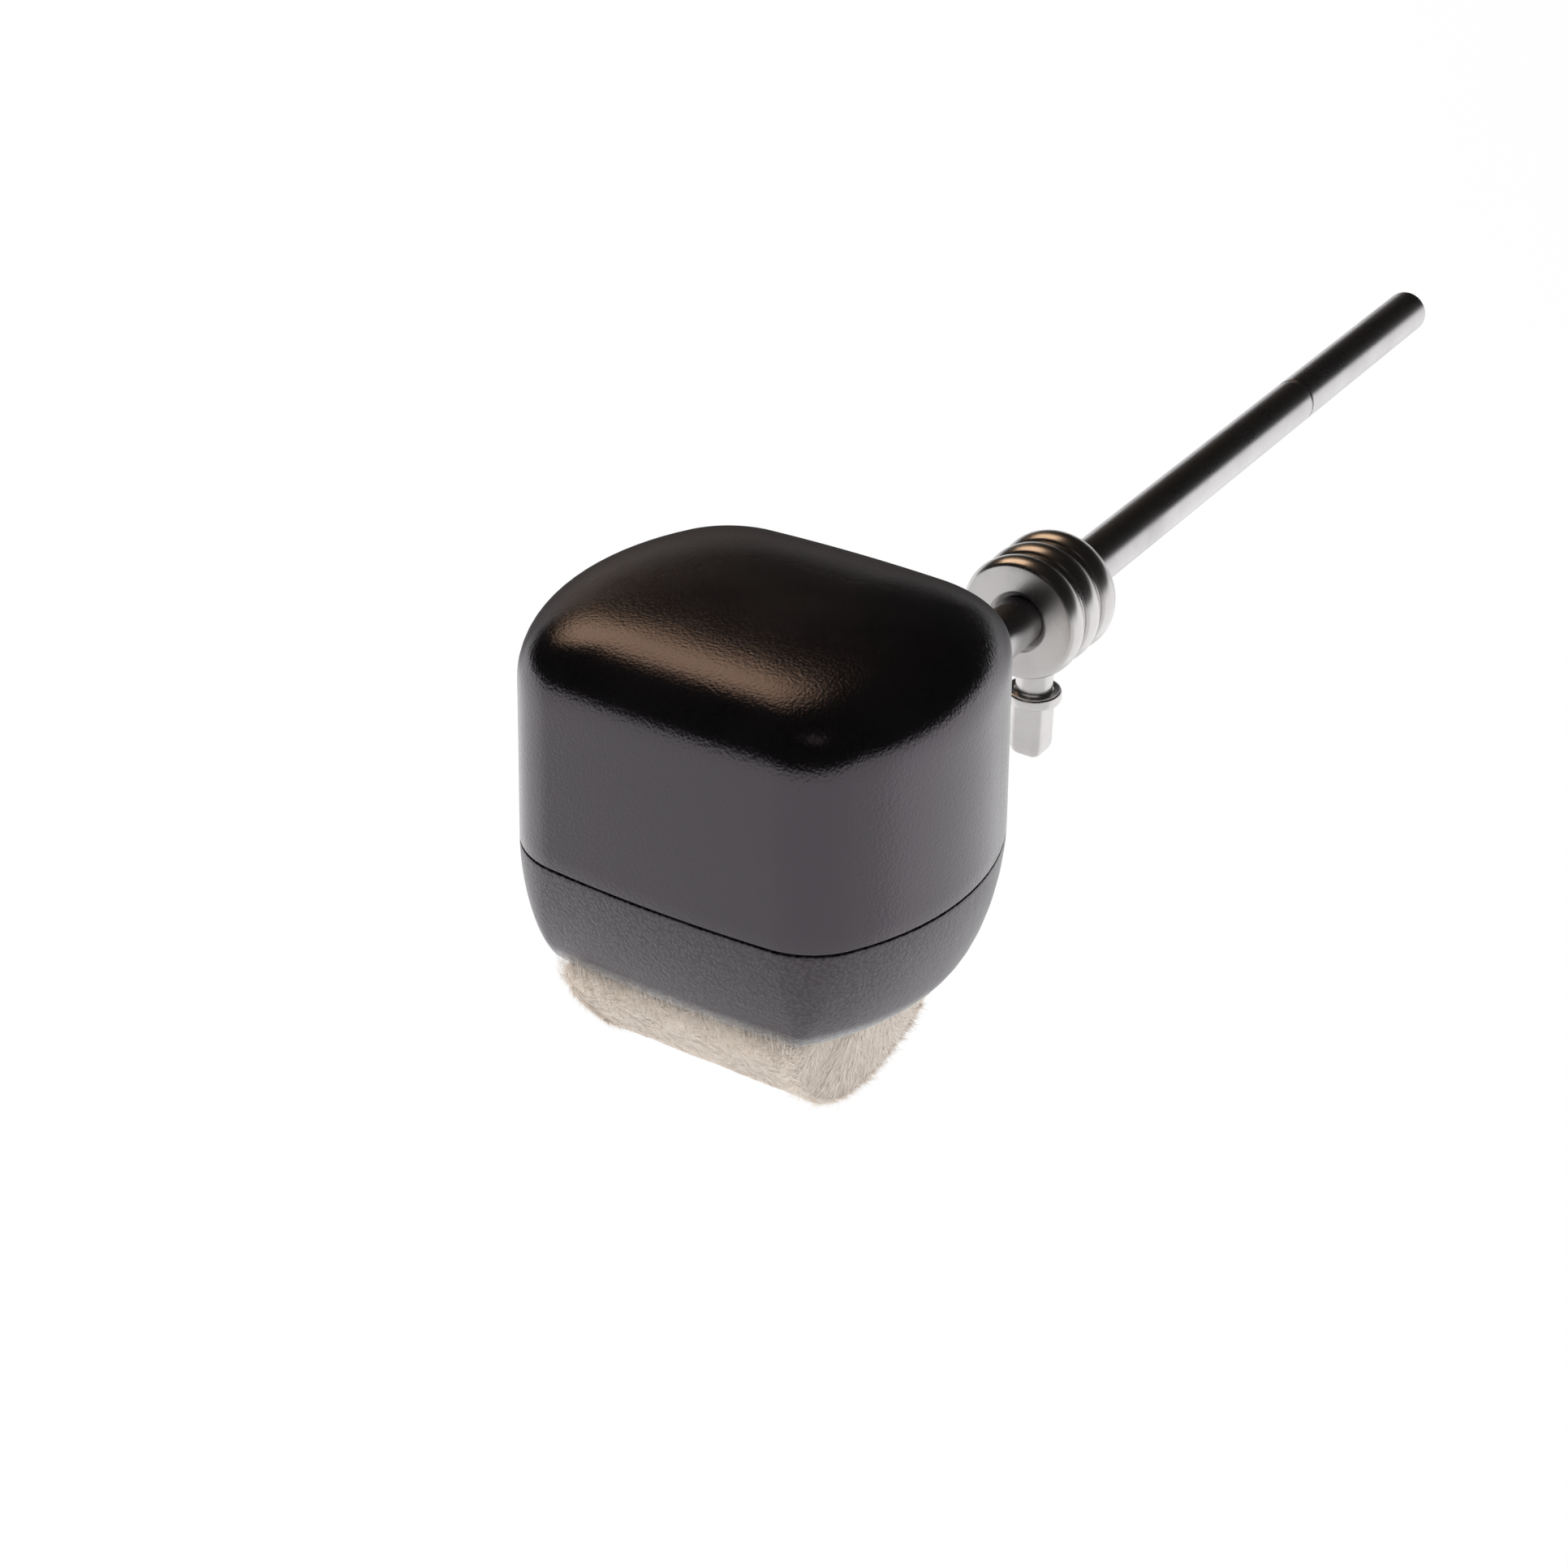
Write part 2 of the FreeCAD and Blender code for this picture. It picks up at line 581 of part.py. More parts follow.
def rod(doc):
    """Turned rod: chamfered free end, clamp stretch, index ring, and threaded end in the hub."""
    body = doc.addObject("PartDesign::Body", "rod")
    profile = sketch(body, "rod_profile", "XZ_Plane")
    index = "rod_radius - index_depth"
    thread = "rod_radius - thread_relief"
    start = f"{NUT_FOOT} - thread_runout"
    top = f"{HUB_TOP} - hub_spare"
    corners = [
        ("0", "-rod_below"),
        ("rod_radius - rod_chamfer", "-rod_below"),
        ("rod_radius", "rod_chamfer - rod_below"),
        ("rod_radius", "index_height"),
        (index, "index_height"),
        (index, "index_height + index_width"),
        ("rod_radius", "index_height + index_width"),
        ("rod_radius", start),
        (thread, start),
        (thread, f"{top} - rod_chamfer"),
        (f"{thread} - rod_chamfer", top),
        ("0", top),
    ]
    polygon(profile, corners)
    turned = body.newObject("PartDesign::Revolution", "rod_revolved")
    turned.Profile = profile
    turned.ReferenceAxis = (profile, ["V_Axis"])
    return body


def rod_hub(doc):
    """Threaded block held between shell and bezel, with a boss through the head's lower end."""
    block = box(
        doc,
        "hub_block",
        ("-hub_half_width", "-hub_half_depth", HUB_FOOT),
        ("2 * hub_half_width", "2 * hub_half_depth", "hub_length"),
    )
    boss_length = f"{HUB_FOOT} - {BOSS_FOOT} + wall"
    boss = cylinder(doc, "hub_boss_form", "hub_boss", boss_length, ("0", "0", BOSS_FOOT))
    bore = cylinder(doc, "hub_bore", "rod_radius", f"2 * {HUB_TOP}", ("0", "0", "0"))
    return cut(doc, "rod_hub", fuse(doc, "hub_solid", [block, boss]), [bore])


def lock_washer(doc):
    """Plain washer between the hub's boss and the nut."""
    disc = cylinder(doc, "washer_disc", "washer_radius", "washer_thick", ("0", "0", NUT_TOP))
    through = "nut_height + 2 * washer_thick"
    bore = cylinder(doc, "washer_bore", "rod_radius + fit_gap", through, ("0", "0", NUT_FOOT))
    return cut(doc, "lock_washer", disc, [bore])


def lock_nut(doc):
    """Hexagon nut with its points taken off, locking the rod in the hub."""
    hexagon = doc.addObject("Part::Prism", "nut_hexagon")
    hexagon.Polygon = 6
    bind(hexagon, Circumradius="2 * nut_flat / sqrt(3)", Height="nut_height")
    place(hexagon, "0", "0", NUT_FOOT)
    crown = doc.addObject("Part::Sphere", "nut_crown_form")
    bind(crown, Radius="nut_crown")
    place(crown, "0", "0", f"{NUT_FOOT} + nut_height / 2")
    bore = cylinder(doc, "nut_bore", "rod_radius", "3 * nut_height", ("0", "0", f"{NUT_FOOT} - nut_height"))
    return cut(doc, "lock_nut", common(doc, "nut_form", hexagon, crown), [bore])


def key_screw(doc):
    """Flanged screw with a square head for a drum key, radial in the counterweight."""
    tip = f"{SLUG_FRONT} + running_gap"
    stem_foot = ("0", f"-({tip})", "weight_centre")
    stem = cylinder(doc, "key_stem", "key_radius", f"key_neck + flange_thick - ({tip})", stem_foot, FRONT)
    disc_foot = ("0", "-key_neck", "weight_centre")
    disc = cylinder(doc, "flange_disc", "flange_radius", "flange_thick", disc_foot, FRONT)
    flange = fillet(doc, "key_flange", disc, "flange_round", lambda edge: edge.Closed)
    block = box(
        doc,
        "square_block",
        ("-square_half", "-square_end", "weight_centre - square_half"),
        ("2 * square_half", "square_end - key_neck - flange_thick / 2", "2 * square_half"),
    )
    end = number(doc, "-square_end")
    end_edge = lambda edge: abs(edge.BoundBox.YMax - end) < 0.01
    square = fillet(doc, "key_square", block, "square_round", end_edge)
    return fuse(doc, "key_screw", [stem, flange, square])


def clamp_pad(doc):
    """Soft slug between the key screw's tip and the rod."""
    foot = ("0", "-(rod_radius + running_gap)", "weight_centre")
    return cylinder(doc, "clamp_pad", "slug_radius", "slug_thick", foot, FRONT)


PIECES = (
    rear_shell,
    front_bezel,
    pad_plate,
    pad_core,
    hide_backing,
    wool_pile,
    housing_screws,
    rod,
    rod_hub,
    lock_washer,
    lock_nut,
    weight_collar,
    key_screw,
    clamp_pad,
)


def check(doc):
    """Stop if any object failed or any shape is unsound."""
    for thing in doc.Objects:
        if {"Invalid", "Error"} & set(thing.State):
            raise RuntimeError(f"{thing.Label} failed: {thing.State}")
        if thing.isDerivedFrom("Part::Feature") and (thing.Shape.isNull() or not thing.Shape.isValid()):
            raise RuntimeError(f"{thing.Label} has no sound shape")


def main():
    """Build every piece and write one file each."""
    doc = FreeCAD.newDocument("bass_drum_beater")
    make_sheet(doc)
    pieces = [piece(doc) for piece in PIECES]
    doc.recompute()
    check(doc)
    os.makedirs("parts", exist_ok=True)
    for piece in pieces:
        piece.Shape.exportStep(f"parts/{piece.Label}.step")
        volume = round(piece.Shape.Volume / 1000, 3)
        print(piece.Label, len(piece.Shape.Solids), volume, "cm3", piece.Shape.BoundBox)


main()
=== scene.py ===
"""Looks of a bass drum beater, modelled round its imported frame: head, wool pad, rod, weight and key screw."""

import math

import bmesh
import bpy
import numpy as np
from bpy.props import FloatProperty, FloatVectorProperty, IntProperty, PointerProperty
from mathutils import Matrix, Vector, noise
from mathutils.kdtree import KDTree


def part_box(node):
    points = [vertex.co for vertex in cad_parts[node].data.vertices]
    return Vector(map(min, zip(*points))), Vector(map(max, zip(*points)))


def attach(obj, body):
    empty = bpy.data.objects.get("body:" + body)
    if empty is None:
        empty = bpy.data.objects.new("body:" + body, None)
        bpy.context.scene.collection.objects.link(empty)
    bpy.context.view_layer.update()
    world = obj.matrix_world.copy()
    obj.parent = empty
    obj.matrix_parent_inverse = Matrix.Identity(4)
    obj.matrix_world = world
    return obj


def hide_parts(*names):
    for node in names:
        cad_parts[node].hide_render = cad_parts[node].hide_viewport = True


bl_info = {
    "name": "Bass Drum Beater",
    "version": (1, 0, 0),
    "blender": (4, 5, 0),
    "location": "View3D > Sidebar > Beater",
    "description": "Models a bass drum beater with a wool pad round its packed frame",
    "category": "Object",
}

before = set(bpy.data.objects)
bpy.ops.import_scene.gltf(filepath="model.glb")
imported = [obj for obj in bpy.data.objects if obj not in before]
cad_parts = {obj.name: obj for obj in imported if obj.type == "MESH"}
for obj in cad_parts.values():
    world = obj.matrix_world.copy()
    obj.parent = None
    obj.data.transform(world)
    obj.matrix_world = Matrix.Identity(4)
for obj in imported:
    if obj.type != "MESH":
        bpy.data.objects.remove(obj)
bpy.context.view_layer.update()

MM = 0.001
FULL_TURN = 2 * math.pi
# A side that bulges with this radius, in metres, counts as straight.
STRAIGHT = 20.0
# The pad's faces are put in order along this slanted direction, so that few of them tie.
SORT_WAY = np.array((0.7549, 0.5698, 0.3247))

SHELL_LOW, SHELL_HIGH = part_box("rear_shell")
BEZEL_LOW, BEZEL_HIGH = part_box("front_bezel")
ROD_LOW, ROD_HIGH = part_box("rod")
WEIGHT_LOW, WEIGHT_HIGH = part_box("weight_collar")
WASHER_LOW, WASHER_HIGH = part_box("lock_washer")
NUT_LOW, NUT_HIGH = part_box("lock_nut")
KEY_LOW, KEY_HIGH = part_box("key_screw")


# Settings that a user may change.


def setting(kind, **limits):
    """A maker of properties of one kind, each with its own name, description and default."""

    def make(name, description, default):
        return kind(name=name, description=description, default=default, **limits)

    return make


a_length = setting(FloatProperty, unit="LENGTH", precision=5)
a_number = setting(FloatProperty)
a_count = setting(IntProperty, min=1)
a_share = setting(FloatProperty, min=0, max=1, subtype="FACTOR")
an_angle = setting(FloatProperty, subtype="ANGLE")
a_power = setting(FloatProperty, min=0, subtype="POWER")
a_lens = setting(FloatProperty, unit="CAMERA")
a_colour = setting(FloatVectorProperty, min=0, max=1, size=3, subtype="COLOR")
a_place = setting(FloatVectorProperty, subtype="TRANSLATION", precision=4)
a_direction = setting(FloatVectorProperty, subtype="DIRECTION", precision=4)


class BeaterHeadSizes(bpy.types.PropertyGroup):
    """Sizes of the moulded head."""

    centre: a_length("Centre", "Head's centre above the origin", (SHELL_LOW[2] + SHELL_HIGH[2]) / 2)
    half_width: a_length("Half width", "Half of the head across the rod", SHELL_HIGH[0])
    half_length: a_length("Half length", "Half of the head along the rod", (SHELL_HIGH[2] - SHELL_LOW[2]) / 2)
    side_bulge: a_length("Side bulge", "Radius of the head's two sides in plan", 38.7 * MM)
    end_bulge: a_length("End bulge", "Radius of the head's two ends in plan", 220 * MM)
    corner: a_length("Corner", "Radius of the head's corners in plan", 11.8 * MM)
    crown_corner: a_length("Crown corner", "Radius that the corners grow to on the crown", 14.7 * MM)
    draft: an_angle("Draft", "Lean of the shell's wall", math.radians(1.2))
    dome_start: a_length("Dome start", "Depth at which the shell's wall turns into the crown", 21.74 * MM)
    crown: a_length("Crown", "Top of the crown behind the rod's axis", SHELL_HIGH[1])
    dome_power: a_number("Dome power", "Squareness of the crown's rounding", 3.66)
    wall: a_length("Wall", "Moulded wall", 3 * MM)
    parting: a_length("Parting", "Gap between shell and bezel", 0.3 * MM)
    bezel_depth: a_length("Bezel depth", "Bezel's rim in front of the rod's axis", -BEZEL_LOW[1])
    bezel_rest: a_length("Bezel rest", "Depth the bezel's curve would still need to turn flat", 0.3 * MM)
    bezel_power: a_number("Bezel power", "Exponent of the bezel's curve", 1.73)
    side_sweep: a_length("Side sweep", "Full sweep of the bezel's curve on the sides", 5.65 * MM)
    end_sweep: a_length("End sweep", "Full sweep of the bezel's curve on the ends", 4.53 * MM)
    rim_corner: a_length("Rim corner", "Radius of the rim's corners in plan", 1.6 * MM)
    lint_reach: a_length("Lint reach", "Reach of the wool dust from the bezel's rim", 3.2 * MM)
    recess_half_width: a_length("Recess half width", "Half of the pad's recess across the rod", 18 * MM)
    recess_half_length: a_length("Recess half length", "Half of the pad's recess along the rod", 21.6 * MM)
    recess_corner: a_length("Recess corner", "Radius of the recess's corners in plan", 2 * MM)
    recess_floor: a_length("Recess floor", "Floor of the recess in front of the rod's axis", 10 * MM)
    tray_floor: a_length("Tray floor", "Floor of the tray behind the recess", 7 * MM)
    lip_height: a_length("Lip height", "Locating lip that stands in the shell", BEZEL_HIGH[1])
    lip_inset: a_length("Lip inset", "Outside of the locating lip from the head's outside", 3.25 * MM)
    lip_thick: a_length("Lip thickness", "Thickness of the locating lip", 1.6 * MM)
    boss_hole: a_length("Boss hole", "Radius of the hole for the hub's boss", 6.25 * MM)


class BeaterWoolSizes(bpy.types.PropertyGroup):
    """Sizes of the wool pad and its pile."""

    axis_depth: a_length("Axis depth", "Axis of the half-round in front of the rod's axis", 13 * MM)
    radius: a_length("Radius", "Half-round of the wool below the pile's tips", 23.05 * MM)
    overhang: a_length("Overhang", "Wool that bulges over the rim on the curved face", 0.9 * MM)
    side_bulge: a_length("Side bulge", "Wool that bulges over the rim on the two ends", 1.3 * MM)
    half_width: a_length("Half width", "Half of the wool across the rod inside the recess", 17.5 * MM)
    half_length: a_length("Half length", "Half of the wool along the rod inside the recess", 21.2 * MM)
    left_round: a_length("Left rounding", "Rounding between the half-round and its left end", 2.4 * MM)
    right_round: a_length("Right rounding", "Rounding between the half-round and its right end", 0.9 * MM)
    lump: a_length("Lumps", "Height of the pile's soft lumps", 0.16 * MM)
    fibre_count: a_count("Fibres", "Number of loose fibres on each half", 60000)
    clump_count: a_count("Clumps", "Number of tufts on each half", 8000)
    fibre_length: a_length("Fibre length", "Middle length of a fibre", 1.8 * MM)
    fibre_width: a_length("Fibre width", "Width of a fibre at its root", 0.085 * MM)
    fibre_lift: a_length("Fibre lift", "How far a fibre's tip stands off the pile", 0.22 * MM)
    fringe_lift: a_length("Fringe lift", "How far the fringe beside the rim stands out", 0.9 * MM)
    fringe_rise: a_length("Fringe rise", "How far the fringe climbs over the bezel's lip", 3.8 * MM)
    seed: a_count("Seed", "Seed of the fibres' places", 11)


class BeaterMetalSizes(bpy.types.PropertyGroup):
    """Sizes of the turned and threaded pieces."""

    rod_radius: a_length("Rod radius", "Radius of the rod", ROD_HIGH[0])
    rod_chamfer: a_length("Rod chamfer", "Chamfer of the rod's free end", 1 * MM)
    index_height: a_length("Index height", "Middle of the index ring above the origin", 31.3 * MM)
    index_width: a_length("Index width", "Width of the index ring", 0.6 * MM)
    index_depth: a_length("Index depth", "Depth of the index ring", 0.2 * MM)
    thread_pitch: a_length("Thread pitch", "Pitch of the rod's thread", 1 * MM)
    thread_depth: a_length("Thread depth", "Depth of the rod's thread", 0.55 * MM)
    thread_shown: a_length("Thread shown", "Thread that shows below the lock nut", 2 * MM)
    weight_radius: a_length("Weight radius", "Radius of the counterweight", WEIGHT_HIGH[0])
    bore: a_length("Bore", "Radius of the counterweight's bore", 4.05 * MM)
    sink: a_length("Countersink", "Radius of the bore's countersink", 5 * MM)
    groove_width: a_length("Groove width", "Width of the grooves between the rings", 0.9 * MM)
    groove_depth: a_length("Groove depth", "Depth of the grooves", 0.9 * MM)
    ring_crown: a_length("Ring crown", "Rise of a ring's middle over its edges", 0.45 * MM)
    ring_round: a_length("Ring rounding", "Rounding of a ring's edges", 0.4 * MM)
    key_hole: a_length("Key hole", "Radius of the hole for the key screw", 3.05 * MM)
    key_radius: a_length("Key radius", "Radius of the key screw's thread", 3 * MM)
    key_pitch: a_length("Key pitch", "Pitch of the key screw's thread", 1 * MM)
    key_thread: a_length("Key thread", "Depth of the key screw's thread", 0.5 * MM)
    key_neck: a_length("Key neck", "Inner face of the flange from the rod's axis", 15 * MM)
    flange_radius: a_length("Flange radius", "Radius of the key screw's flange", 4.5 * MM)
    flange_thick: a_length("Flange thickness", "Thickness of the flange", 2 * MM)
    flange_round: a_length("Flange rounding", "Rounding of the flange's edges", 0.5 * MM)
    square_half: a_length("Square half", "Half of the key's square across its flats", 2.85 * MM)
    square_corner: a_length("Square corner", "Rounding of the square's four corners", 1.3 * MM)
    square_round: a_length("Square rounding", "Rounding of the square's end", 2.2 * MM)
    washer_bore: a_length("Washer bore", "Radius of the lock washer's bore", 4.25 * MM)
    washer_round: a_length("Washer rounding", "Rounding of the lock washer's edges", 0.3 * MM)
    nut_crown: a_length("Nut crown", "Radius that takes the nut's points off", 7.2 * MM)


class BeaterFinishes(bpy.types.PropertyGroup):
    """Colours of the finishes."""

    plastic: a_colour("Plastic", "Black of the moulded head", (0.0016, 0.0015, 0.0017))
    plastic_worn: a_colour("Rubbed plastic", "Plastic where it has been handled", (0.0034, 0.0031, 0.0034))
    plastic_raised: a_colour("Raised plastic", "Tops of the bezel's grain", (0.038, 0.036, 0.039))
    plastic_gloss: a_colour("Plastic gloss", "Tint of the plastic's gloss", (0.985, 0.89, 1.0))
    lint: a_colour("Lint", "Wool dust on the bezel's lip", (0.68, 0.68, 0.66))
    wool_light: a_colour("Light wool", "Light tone of the wool", (0.95, 0.88, 0.81))
    wool_dark: a_colour("Dark wool", "Dark tone of the wool", (0.87, 0.79, 0.71))
    chrome: a_colour("Chrome", "Bright plating", (0.55, 0.535, 0.53))
    chrome_smeared: a_colour("Smeared chrome", "Plating under a film of handling", (0.47, 0.455, 0.45))
    rod_chrome: a_colour("Rod chrome", "Plating of the rod", (0.5, 0.49, 0.495))
    rod_smeared: a_colour("Smeared rod", "Plating of the rod under a film of handling", (0.43, 0.42, 0.425))
    steel: a_colour("Steel", "Plain steel of hub and screws", (0.42, 0.41, 0.4))
    steel_stained: a_colour("Stained steel", "Oil stain on plain steel", (0.3, 0.285, 0.265))
    brass: a_colour("Brass", "Soft brass of the clamp pad", (0.72, 0.53, 0.25))
    brass_stained: a_colour("Stained brass", "Tarnish on the brass", (0.48, 0.33, 0.14))
    hide: a_colour("Hide", "Skin that carries the wool", (0.62, 0.5, 0.37))
    hide_dark: a_colour("Dark hide", "Folds of the skin", (0.44, 0.33, 0.22))
    core: a_colour("Core", "Sanded wood core of the pad", (0.62, 0.47, 0.3))
    core_dark: a_colour("Dark core", "Dark grain of the wood core", (0.45, 0.32, 0.19))
    plate: a_colour("Plate", "Nylon plate under the core", (0.06, 0.06, 0.065))
    plate_dark: a_colour("Dark plate", "Flow marks of the nylon plate", (0.035, 0.035, 0.04))


class BeaterStageSettings(bpy.types.PropertyGroup):
    """Floor, light and camera of the picture."""

    floor_height: a_length("Floor height", "Height of the floor", -450 * MM)
    floor_tone: a_share("Floor tone", "Paleness of the floor", 0.9)
    card_distance: a_length("Card distance", "Distance of the dark card behind the head", 1200 * MM)
    upper_tilt: an_angle("Upper tilt", "Lean of the card's upper half, forwards", math.radians(11.5))
    lower_tilt: an_angle("Lower tilt", "Lean of the card's lower half, backwards", math.radians(4))
    card_tone: a_share("Card tone", "Paleness of the dark card", 0.012)
    warm_power: a_power("Warm lamp", "Power of the broad warm lamp behind the crown", 1.5)
    warm_tint: a_colour("Warm tint", "Colour of the warm lamp", (1, 0.69, 0.45))
    side_power: a_power("Side lamps", "Power of each of the two broad lamps beside the head", 2.4)
    side_tint: a_colour("Side tint", "Colour of the broad lamps", (1, 0.99, 1))
    spark_power: a_power("Small lamp", "Power of the small lamp that sparks on the plating", 0.014)
    spark_tint: a_colour("Small tint", "Colour of the small lamp", (1, 0.87, 0.78))
    camera_place: a_place("Camera place", "Place of the camera", (0.1802, 0.2037, 0.4892))
    camera_right: a_direction("Camera right", "Picture's right", (0.8423, 0.0113, -0.5388))
    camera_up: a_direction("Camera up", "Picture's up", (-0.2826, 0.8607, -0.4236))
    lens: a_lens("Lens", "Focal length in millimetres", 65.525)


# Outlines, rings and the operators that build a piece ring by ring.


def barrel(half_width, half_length, side_radius, end_radius, corner_radius, segments=(16, 16, 16)):
    """Points (x, z) round two bulged sides, two bulged ends and four corners, counted from the right side."""
    side_count, corner_count, end_count = segments
    side_centre = half_width - side_radius
    end_centre = half_length - end_radius
    side_reach = side_radius - corner_radius
    end_reach = end_radius - corner_radius
    gap = Vector((-side_centre, end_centre))
    along = (side_reach**2 - end_reach**2 + gap.length_squared) / (2 * gap.length)
    across = math.sqrt(max(side_reach**2 - along**2, 0))
    ahead = gap.normalized()
    aside = Vector((-ahead.y, ahead.x))
    choices = [Vector((side_centre, 0)) + ahead * along + aside * way * across for way in (1, -1)]
    corner = max(choices, key=lambda point: min(point.x, point.y))
    low = math.atan2(corner.y, corner.x - side_centre)
    high = math.atan2(corner.y - end_centre, corner.x)
    arcs = (
        (side_centre, 0, side_radius, -low, low, side_count),
        (corner.x, corner.y, corner_radius, low, high, corner_count),
        (0, end_centre, end_radius, high, math.pi - high, end_count),
        (-corner.x, corner.y, corner_radius, math.pi - high, math.pi - low, corner_count),
        (-side_centre, 0, side_radius, math.pi - low, math.pi + low, side_count),
        (-corner.x, -corner.y, corner_radius, math.pi + low, math.pi + high, corner_count),
        (0, -end_centre, end_radius, math.pi + high, FULL_TURN - high, end_count),
        (corner.x, -corner.y, corner_radius, FULL_TURN - high, FULL_TURN - low, corner_count),
    )
    points = []
    for x, z, radius, start, stop, count in arcs:
        for step in range(count):
            turn = start + (stop - start) * step / count
            points.append((x + radius * math.cos(turn), z + radius * math.sin(turn)))
    return points


def box_outline(half_width, half_length, corner_radius, segments=(16, 16, 16)):
    """Points (x, z) round a rectangle with rounded corners."""
    return barrel(half_width, half_length, STRAIGHT, STRAIGHT, corner_radius, segments)


def circle_outline(radius, count):
    """Points (x, y) round a circle."""
    turns = [FULL_TURN * step / count for step in range(count)]
    return [(radius * math.cos(turn), radius * math.sin(turn)) for turn in turns]


def held_share(value):
    """A value held between 0 and 1."""
    return max(0.0, min(1.0, value))


def deselect():
    """Leave edit mode and select nothing."""
    if bpy.context.mode != "OBJECT":
        bpy.ops.object.mode_set(mode="OBJECT")
    bpy.ops.object.select_all(action="DESELECT")


def activate(piece):
    """Select one piece alone and make it the active one."""
    deselect()
    piece.select_set(True)
    bpy.context.view_layer.objects.active = piece


def name_piece(name):
    """Name the object that was just added."""
    piece = bpy.context.object
    piece.name = name
    piece.data.name = name
    return piece


def lay_ring(piece, ring, points):
    """Move a ring's vertices onto its points."""
    edit = bmesh.from_edit_mesh(piece.data)
    edit.verts.ensure_lookup_table()
    for index, point in zip(ring, points):
        edit.verts[index].co = point
    bmesh.update_edit_mesh(piece.data)


def extrude_ring(piece, ring):
    """Extrude the selected ring and return the new ring's vertices in the same order."""
    bpy.ops.mesh.extrude_edges_indiv()
    edit = bmesh.from_edit_mesh(piece.data)
    edit.verts.index_update()
    edit.verts.ensure_lookup_table()
    new_ring = []
    for index in ring:
        vert = edit.verts[index]
        others = [edge.other_vert(vert) for edge in vert.link_edges]
        new_ring.append(next(other.index for other in others if other.select))
    return new_ring


def fill_ring(piece, ring):
    """Close a ring with a fan of faces round its middle."""
    bpy.ops.mesh.select_all(action="DESELECT")
    edit = bmesh.from_edit_mesh(piece.data)
    edit.verts.ensure_lookup_table()
    for index in ring:
        edit.verts[index].select = True
    edit.select_flush_mode()
    bmesh.update_edit_mesh(piece.data)
    bpy.ops.mesh.edge_face_add()
    bpy.ops.mesh.poke()


def ring_piece(name, rings, filled=True):
    """Extrude a circle through all the rings, close its ends, and point its faces outwards.

    A piece with a hole has its first ring again as its last, and closes on itself when doubles are merged.
    """
    deselect()
    bpy.ops.mesh.primitive_circle_add(vertices=len(rings[0]), radius=10 * MM, location=(0, 0, 0))
    piece = name_piece(name)
    bpy.ops.object.mode_set(mode="EDIT")
    bpy.ops.mesh.select_mode(type="VERT")
    bpy.ops.mesh.select_all(action="SELECT")
    first = list(range(len(rings[0])))
    lay_ring(piece, first, rings[0])
    last = first
    for points in rings[1:]:
        last = extrude_ring(piece, last)
        lay_ring(piece, last, points)
    if filled:
        fill_ring(piece, last)
        fill_ring(piece, first)
    bpy.ops.mesh.select_all(action="SELECT")
    bpy.ops.mesh.remove_doubles(threshold=0.001 * MM)
    bpy.ops.mesh.normals_make_consistent(inside=False)
    bpy.ops.object.mode_set(mode="OBJECT")
    return piece


def cylinder_form(radius, depth, place, turn=(0, 0, 0), vertices=64):
    """Add a cylinder as a tool form or as the start of a piece."""
    deselect()
    bpy.ops.mesh.primitive_cylinder_add(
        vertices=vertices, radius=radius, depth=depth, location=place, rotation=turn
    )
    return bpy.context.object


def apply_modifier(piece, kind, **settings):
    """Add a modifier with its settings and apply it at once."""
    activate(piece)
    modifier = piece.modifiers.new(kind.title(), kind)
    for label, value in settings.items():
        setattr(modifier, label, value)
    bpy.ops.object.modifier_apply(modifier=modifier.name)


def join_by(piece, tool, operation):
    """Cut or meet a piece with a tool form, which is then thrown away."""
    apply_modifier(piece, "BOOLEAN", object=tool, operation=operation, solver="EXACT")
    bpy.data.meshes.remove(tool.data)


def smooth(piece, degrees=32):
    """Shade a piece smooth, with sharp edges where its faces meet at more than an angle."""
    activate(piece)
    bpy.ops.object.shade_smooth_by_angle(angle=math.radians(degrees))


def paint(piece, material):
    """Give a piece its one material."""
    piece.data.materials.clear()
    piece.data.materials.append(material)


def dress(piece, body, slot, material, *nodes):
    """Give a piece its material and its body, and hide the nodes it stands for. The slot is not used."""
    paint(piece, material)
    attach(piece, body)
    if nodes:
        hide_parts(*nodes)


# Node groups and materials.


def feed(tree, value, socket):
    """Give a socket its value: another socket to link, a colour, a vector or a number."""
    if isinstance(value, bpy.types.NodeSocket):
        tree.links.new(value, socket)
    elif socket.type == "RGBA":
        socket.default_value = (*value, 1)
    else:
        socket.default_value = value


def set_inputs(tree, node, **values):
    """Feed a node's inputs by their labels, with _ for a space."""
    for label, value in values.items():
        feed(tree, value, node.inputs[label.replace("_", " ")])


def add_node(tree, kind, **settings):
    """Add a node and set what is named: its own properties, or its inputs by their labels."""
    node = tree.nodes.new(kind)
    for label, value in settings.items():
        if hasattr(node, label):
            setattr(node, label, value)
        else:
            set_inputs(tree, node, **{label: value})
    return node


def math_node(tree, operation, first, second):
    """Result of a math node on two operands, each a socket or a number."""
    node = add_node(tree, "ShaderNodeMath", operation=operation)
    for socket, operand in zip(node.inputs, (first, second)):
        feed(tree, operand, socket)
    return node.outputs[0]


def weighted_sum(tree, first, first_weight, second, second_weight):
    """Sum of two sockets, each times its weight."""
    first_part = math_node(tree, "MULTIPLY", first, first_weight)
    return math_node(tree, "ADD", first_part, math_node(tree, "MULTIPLY", second, second_weight))


